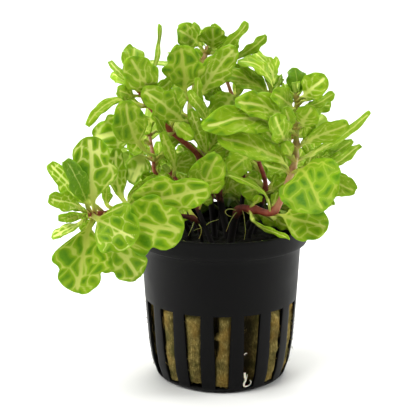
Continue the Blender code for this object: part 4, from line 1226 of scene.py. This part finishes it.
# the mineral wool: a felted plug that bulges into the slots and is torn and folded in places
woolPlug = {
    "columns": 288, "spacing": 0.5, "lumps": 0.32, "felt": 0.14, "fluff": 0.08,
    "profile": [
        (0.0, 1.3), (17.0, 1.3), (19.0, 3.2), (20.6, 7.0), (21.8, 13.0),
        (22.9, 24.0), (23.3, 43.0), (21.5, 44.0), (0.0, 44.0),
    ],
    "planted": 43.5, "mossFrom": 40,  # mm, where the top is rough and mossy, its moss painted near black as painted shade, and where moss begins
    "hairy": (2, 27),  # mm, between which heights fibres stand out
    "still": 12,  # mm, the radius up to which the underside stays flat
    "grooves": [(23.1, 2.3, 2.4), (-66.9, 2.6, 2.6)],  # degrees from the front, half width and depth, mm
    # how dark the grooves, and further down the tears, are painted: painted shade in these hollows
    "grooveTop": 28, "grooveShade": 0.88,
    # tears behind the middle slot, left of its middle: mm to the left, half width, squareness, and how
    # far the wool has gone at which heights
    "tears": [
        (2.1, 1.2, 4, (19.2, 20.4, 27, 28), (0, 1, 1, 0)),
        (2.2, 1.1, 2, (11, 14, 17.2, 18.4), (0, 0.7, 1, 0)),
    ],
    "tearDepth": 2.4, "tearShade": 0.95,
    "foldHeight": 19.0, "foldOut": 0.5, "foldSlant": 0.35, "foldHalf": (0.75, 2.4),  # half height and width
    "lowEnd": 1.5, "lowEndExtra": {-1: 0.9},  # mm, where the bulge in a slot begins, and in one slot higher
    "slotHalf": 2.35, "slotTop": 25.6,  # mm, the window through which the wool bulges
    "bulge": 0.55, "uneven": 0.35, "proud": 0.8,  # mm, more or less than that, and the most it may come out
    "clear": 0.06,  # mm between the wool and the wall
}


def fadeIn(value, start, over):  # from 0 at start to 1 so much further
    return min(1.0, max(0.0, (value - start) / over))


def bell(value, half, power):
    return math.exp(-((value / half) ** power))


def woolSide(r, z, a, shift):  # how far a point of the side moves out, how much painted shade its hollows get, and how mossy it is
    look = woolPlug
    degrees = math.degrees(a) if a <= math.pi else math.degrees(a) - 360
    fromSlot = degrees - potShell["turn"]
    inShade = 0.0
    for turn, half, deep in look["grooves"]:
        hollow = bell(math.radians(degrees - turn) * r, half, 4) * fadeIn(z, look["grooveTop"], -2)
        shift -= deep * hollow
        inShade = max(inShade, look["grooveShade"] * hollow)
    across = math.radians(fromSlot) * r
    torn = [bell(across + left, half, power) * float(np.interp(z, heights, gone))
            for left, half, power, heights, gone in look["tears"]]
    gap = max(torn)
    tall, broad = look["foldHalf"]
    fold = bell(z - look["foldHeight"] + look["foldSlant"] * across, tall, 2) * bell(across, broad, 4)
    shift += look["foldOut"] * fold - look["tearDepth"] * gap
    inShade = max(inShade, look["tearShade"] * gap)
    radii, heights = zip(*potProfile[2:8])
    limit = float(np.interp(z, heights, [radius - potWall for radius in radii])) - look["clear"]
    pitch = 360 / potShell["slots"]
    slotPlace = math.radians((fromSlot + pitch / 2) % pitch - pitch / 2) * r
    number = round(fromSlot / pitch)
    uneven = noise.noise(Vector((slotPlace * 1.3, number * 5.1, 0)))
    lowEnd = look["lowEnd"] + look["lowEndExtra"].get(number, 0.0) + 0.6 * uneven
    bared = min(fadeIn(z, lowEnd, 0.5), fadeIn(z, look["slotTop"], -0.8))
    bared = fadeIn(abs(slotPlace), look["slotHalf"], -0.5) * bared
    lump = look["uneven"] * noise.noise(Vector((number * 7.3, 0, z / 5)))
    bulge = look["bulge"] + lump - 0.25 * (abs(slotPlace) / 2) ** 2
    target = r + shift + bared * (limit + bulge - r) if bared and inShade < 0.3 else r + shift
    push = min(limit + look["proud"] * bared, target) - r if r > look["still"] else 0.0
    return push, inShade, fadeIn(z, look["mossFrom"], 3.0)


def woolSkin():
    look = woolPlug
    rows = []
    for (r0, z0), (r1, z1) in zip(look["profile"], look["profile"][1:]):
        spacing = look["spacing"] * (1 if z0 < 43 else 1.6)
        steps = max(1, round(math.hypot(r1 - r0, z1 - z0) / spacing))
        rows += [(r0 + (r1 - r0) * k / steps, z0 + (z1 - z0) * k / steps) for k in range(steps)]
    rows = rows[1:]
    columns = look["columns"]
    points, recessShade, mossAndShade, fuzz = [], [], [], []
    for r, z in [(0.0, look["profile"][0][1])] + rows + [(0.0, look["profile"][-1][1])]:
        for c in range(columns if r else 1):
            a = 2 * math.pi * c / columns
            ring = Vector((math.sin(a), -math.cos(a), 0))
            p = ring * r + Vector((0, 0, z))
            lumps, felt = look["lumps"] * noise.noise(p / 3.2), look["felt"] * noise.noise(p / 1.1)
            if z >= look["planted"]:
                p.z += 1.2 * noise.noise(Vector((p.x, p.y, 0)) / 3.5) + 0.5 * noise.noise(p / 1.2) + 0.3
                inShade, green, hair = 0.0, 1.0, 0.0
            else:
                fluff = look["fluff"] * noise.noise(p / 0.5)
                push, inShade, green = woolSide(r, z, a, lumps + felt + fluff)
                p += ring * push
                hair = 1.0 if look["hairy"][0] < z < look["hairy"][1] else 0.0
            points.append(p)
            recessShade.append(inShade)
            mossAndShade.append(green)
            fuzz.append(hair * (1 - inShade * 0.7))
    turns = [(c, (c + 1) % columns) for c in range(columns)]
    faces = [(0, 1 + d, 1 + c) for c, d in turns]
    for first in range(1, 1 + (len(rows) - 1) * columns, columns):
        faces += [(first + c, first + d, first + columns + d, first + columns + c) for c, d in turns]
    last = 1 + (len(rows) - 1) * columns
    faces += [(last + c, last + d, len(points) - 1) for c, d in turns]
    data = bpy.data.meshes.new("wool_plug")
    data.from_pydata([p * mm for p in points], [], faces)
    data.polygons.foreach_set("use_smooth", [True] * len(faces))
    addFloats(data, {"recessShade": recessShade, "mossAndShade": mossAndShade, "fuzz": fuzz})
    return data


# short bent fibres scattered over the wool, leaning into it; drawn thicker than real ones so that they show
woolFibres = {"Density": 600000.0, "Length": 1.5 * mm, "Thickness": 0.05 * mm, "Lift": 0.4, "Seed": 3}


def fibreTree(material):
    wanted = (("Surface", "Geometry"), ("Density", "Float"), ("Length", "Float"), ("Thickness", "Float"),
              ("Lift", "Float"), ("Seed", "Int"))
    tree, given = newTree("scattered fibres", wanted, "Fibres")
    length, seed = given["Length"], given["Seed"]
    share = addNode(tree, "GeometryNodeInputNamedAttribute", {"data_type": "FLOAT"}, in0="fuzz").outputs[0]
    many = addNode(tree, *product, in0=given["Density"], in1=share).outputs[0]
    dots = addNode(tree, "GeometryNodeDistributePointsOnFaces", in0=given["Surface"], in4=many, in6=seed)
    lift = addNode(tree, *product, in0=length, in1=given["Lift"]).outputs[0]
    start = addNode(tree, "ShaderNodeCombineXYZ", in2=-0.05 * mm).outputs[0]
    middle = addNode(tree, "ShaderNodeCombineXYZ", in0=length, in2=lift).outputs[0]
    end = addNode(tree, "ShaderNodeCombineXYZ", in0=length, in1=length).outputs[0]
    bent = addNode(tree, "GeometryNodeCurveQuadraticBezier", in0=5, in1=start, in2=middle, in3=end)
    ring = addNode(tree, "GeometryNodeCurvePrimitiveCircle", in0=3, in4=given["Thickness"]).outputs[0]
    strand = addNode(tree, "GeometryNodeCurveToMesh", in0=bent.outputs[0], in1=ring, in2=1.0, in3=True)
    least, most = (-0.35, -0.35, 0.0), (0.35, 0.35, 6.283)  # radians
    vector, number, local = {"data_type": "FLOAT_VECTOR"}, {"data_type": "FLOAT"}, {"rotation_space": "LOCAL"}
    spin = addNode(tree, "FunctionNodeRandomValue", vector, in0=least, in1=most, in8=seed)
    spin = addNode(tree, "FunctionNodeEulerToRotation", in0=spin.outputs[0]).outputs[0]
    turn = addNode(tree, "FunctionNodeRotateRotation", local, in0=dots.outputs["Rotation"], in1=spin)
    size = addNode(tree, "FunctionNodeRandomValue", number, in2=0.45, in3=1.2, in8=seed).outputs[1]
    laid = addNode(tree, "GeometryNodeInstanceOnPoints", in0=dots.outputs[0], in2=strand.outputs[0],
                   in5=turn.outputs[0], in6=size)
    whole = addNode(tree, "GeometryNodeRealizeInstances", in0=laid.outputs[0]).outputs[0]
    soft = addNode(tree, "GeometryNodeSetShadeSmooth", in0=whole).outputs[0]
    dressed = addNode(tree, "GeometryNodeSetMaterial", in0=soft, in2=material).outputs[0]
    addNode(tree, "NodeGroupOutput", in0=dressed)
    return tree


# the pieces
rng = np.random.default_rng(leafBlade["seed"])
leafSkin = leafMaterial()
grown = growAll()
print("leaves settled:", sum(len(leaves) for leaves in grown.values()))
quadTotal = 0
for name, shoot in shoots.items():
    spacing = leafBlade["rearSpacing" if "back" in name else "spacing"]
    points, quads, values, count = [], [], {}, 0
    for shape in grown[name] + budLeaves(name, stemPath(shoot, 6), rng):
        shape["strap"] = strapShare.get(shape["name"], strapShare[name])
        leafPoints, leafQuads, leafValues = fineLeaf(shape, rng, spacing)
        points.append(leafPoints)
        quads.append(leafQuads + count)
        count += len(leafPoints)
        for title, value in leafValues.items():
            values.setdefault(title, []).append(value)
    values = {title: np.concatenate(value) for title, value in values.items()}
    data = meshFrom(f"{name}_foliage", np.concatenate(points), np.concatenate(quads), values)
    pairs = [node for node in sorted(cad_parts) if node.startswith(f"{name}_leaves_")]
    addPiece(f"{name}_foliage", data, pairs, leafSkin)
    quadTotal += len(data.polygons)
print("foliage done:", quadTotal, "quads")

sweep = sweepTree(stemMaterial())
for name, shoot in shoots.items():
    drawn = linesMesh(f"{name}_stalk", [stemLine(name, shoot)])
    made = runTree(f"{name}_stalk", drawn, sweep, {"Sides": stemLook["sides"]})
    addPiece(f"{name}_stalk", made, [f"{name}_stem"])
print("stems done")

addPiece("pot_shell", makeShell(), ["net_pot"], potMaterial())
print("pot done")

wool, woolFelt = woolSkin(), woolMaterial()
addPiece("wool_core", wool, ["rockwool_plug"], woolFelt)
addPiece("wool_fibres", runTree("wool_fibres", wool.copy(), fibreTree(woolFelt), woolFibres))
print("wool done")

# roots: each one's points and its radius, all in mm
rootlets = {
    # thin young roots that hang from the stems' feet: (x, z, depth) on the elevation
    "crown_rootlets": {
        "at": seen, "thinning": 0.6, "age": 0.4, "sides": 7,
        "skin": ("young root", "#a4ab4e", "#5d5a1e"),
        "roots": [
            ([(-8.3, 50.6, -11.8), (-9.0, 48.4, -12.6), (-9.8, 46.6, -12.7), (-10.4, 45.2, -12.5)], 0.16),
            ([(-7.3, 49.4, -10.6), (-6.3, 47.9, -11.6), (-6.3, 46.0, -12.0), (-7.0, 44.2, -12.0)], 0.15),
            ([(-6.3, 47.8, -11.6), (-7.4, 47.5, -12.0), (-8.6, 47.0, -12.2)], 0.11),
            ([(5.4, 53.3, -9.8), (4.4, 52.4, -11.0), (3.6, 51.2, -11.6), (2.7, 49.5, -12.0),
              (1.7, 46.7, -12.0)], 0.15),
            ([(5.2, 53.4, -9.8), (3.4, 54.0, -11.0), (1.9, 53.8, -11.6), (1.4, 52.9, -11.8),
              (2.4, 51.8, -12.0), (3.3, 51.6, -12.0)], 0.2),
            ([(6.6, 53.9, -10.6), (7.2, 52.4, -11.4), (7.5, 50.0, -11.8), (7.8, 46.6, -12.0),
              (7.4, 44.0, -12.0)], 0.13),
            ([(-4.9, 48.6, -9.9), (-3.2, 49.8, -10.5), (-0.7, 50.6, -10.5)], 0.13),
            ([(-11.7, 43.7, -10.5), (-12.9, 42.8, -11.8), (-13.8, 41.4, -12.6)], 0.13),
            ([(13.0, 43.7, -11.0), (14.4, 43.3, -12.5), (15.8, 41.5, -12.6)], 0.13),
        ],
    },
    # old roots that have found the slots: (degrees from the front, distance from the axis, height)
    "slot_roots": {
        "at": around, "thinning": 0.5, "age": 0.3, "sides": 8,
        "skin": ("washed root", "#efe9d8", "#a79a6c"),
        "roots": [
            ([(18.9, 22.3, 7.0), (19.2, 22.1, 5.6), (20.4, 21.7, 4.4), (19.2, 21.6, 3.4), (19.4, 21.3, 2.3),
              (22.4, 20.6, 1.8), (26.0, 20.3, 2.0), (27.0, 20.5, 2.9), (25.8, 20.6, 3.6)], 0.36),
            ([(20.3, 21.7, 4.5), (22.0, 21.2, 5.3), (22.4, 21.2, 6.0)], 0.24),
            ([(18.2, 22.4, 12.9), (19.3, 22.5, 13.4), (20.7, 22.4, 13.3)], 0.2),
            ([(-67.6, 20.6, 22.5), (-66.6, 20.9, 19.0), (-68.0, 20.4, 15.5), (-67.0, 19.9, 12.0)], 0.22),
        ],
    },
}
for name, look in rootlets.items():
    lines = []
    for points, thick in look["roots"]:
        path = smooth([look["at"](*p) for p in points], 5)
        thinning = [1 - look["thinning"] * i / len(path) for i in range(len(path))]
        lines.append([(p, thick * thin, look["age"], 0.0) for p, thin in zip(path, thinning)])
    tree = sweepTree(rootMaterial(*look["skin"]))
    addPiece(name, runTree(name, linesMesh(name, lines), tree, {"Sides": look["sides"]}))
print("roots done")

# the studio
floor = bpy.data.meshes.new("studio_floor")
# in metres, just under the pot
corners = [(x, y, -0.0002) for x, y in ((-12, -12), (12, -12), (12, 12), (-12, 12))]
floor.from_pydata(corners, [], [(0, 1, 2, 3)])
# Uncoated paper from a wide roll: matt and near white.
matt = {"Base Color": tint("#e9e9e6"), "Roughness": 0.9}
floor.materials.append(newMaterial("pale studio paper", matt)[0])
ground = bpy.data.objects.new("studio_floor", floor)
bpy.context.scene.collection.objects.link(ground)

world = bpy.data.worlds.new("studio")
bpy.context.scene.world = world
world.use_nodes = True
backdrop = world.node_tree.nodes["Background"]
backdrop.inputs["Color"].default_value = tint("#f2f4f6")
backdrop.inputs["Strength"].default_value = 0.18

softLights = {  # (place, aim, size in m, watts)
    "key": ((-0.7, -0.75, 1.5), (0, 0, 0.07), 0.7, 19.0),
    "overhead": ((0.2, 0.2, 1.6), (0, 0, 0.08), 0.8, 15.0),
    "left": ((-0.7, 0.0, 0.25), (0, 0, 0.03), 0.35, 4.5),
    "right": ((0.8, 0.05, 0.3), (0, 0, 0.03), 0.35, 5.0),
    "sweep": ((0, 1.7, 1.5), (0, 1.4, 0), 1.8, 40.0),
}
for name, (where, aim, size, power) in softLights.items():
    lamp = bpy.data.lights.new(name, "AREA")
    lamp.size, lamp.energy = size, power
    body = bpy.data.objects.new(name, lamp)
    body.location = where
    body.rotation_euler = (Vector(aim) - Vector(where)).to_track_quat("-Z", "Y").to_euler()
    bpy.context.scene.collection.objects.link(body)

lookDown = 13.45  # degrees that the camera looks below the horizontal
lens = bpy.data.cameras.new("camera")
lens.lens, lens.sensor_width, lens.clip_start = 112.5, 36.0, 0.01
camera = bpy.data.objects.new("camera", lens)
camera.location = eye * mm
camera.rotation_euler = (math.radians(90 - lookDown), 0, 0)
bpy.context.scene.collection.objects.link(camera)
bpy.context.scene.camera = camera
bpy.context.scene.view_settings.view_transform = "Standard"
print("studio done")

bpy.context.view_layer.update()
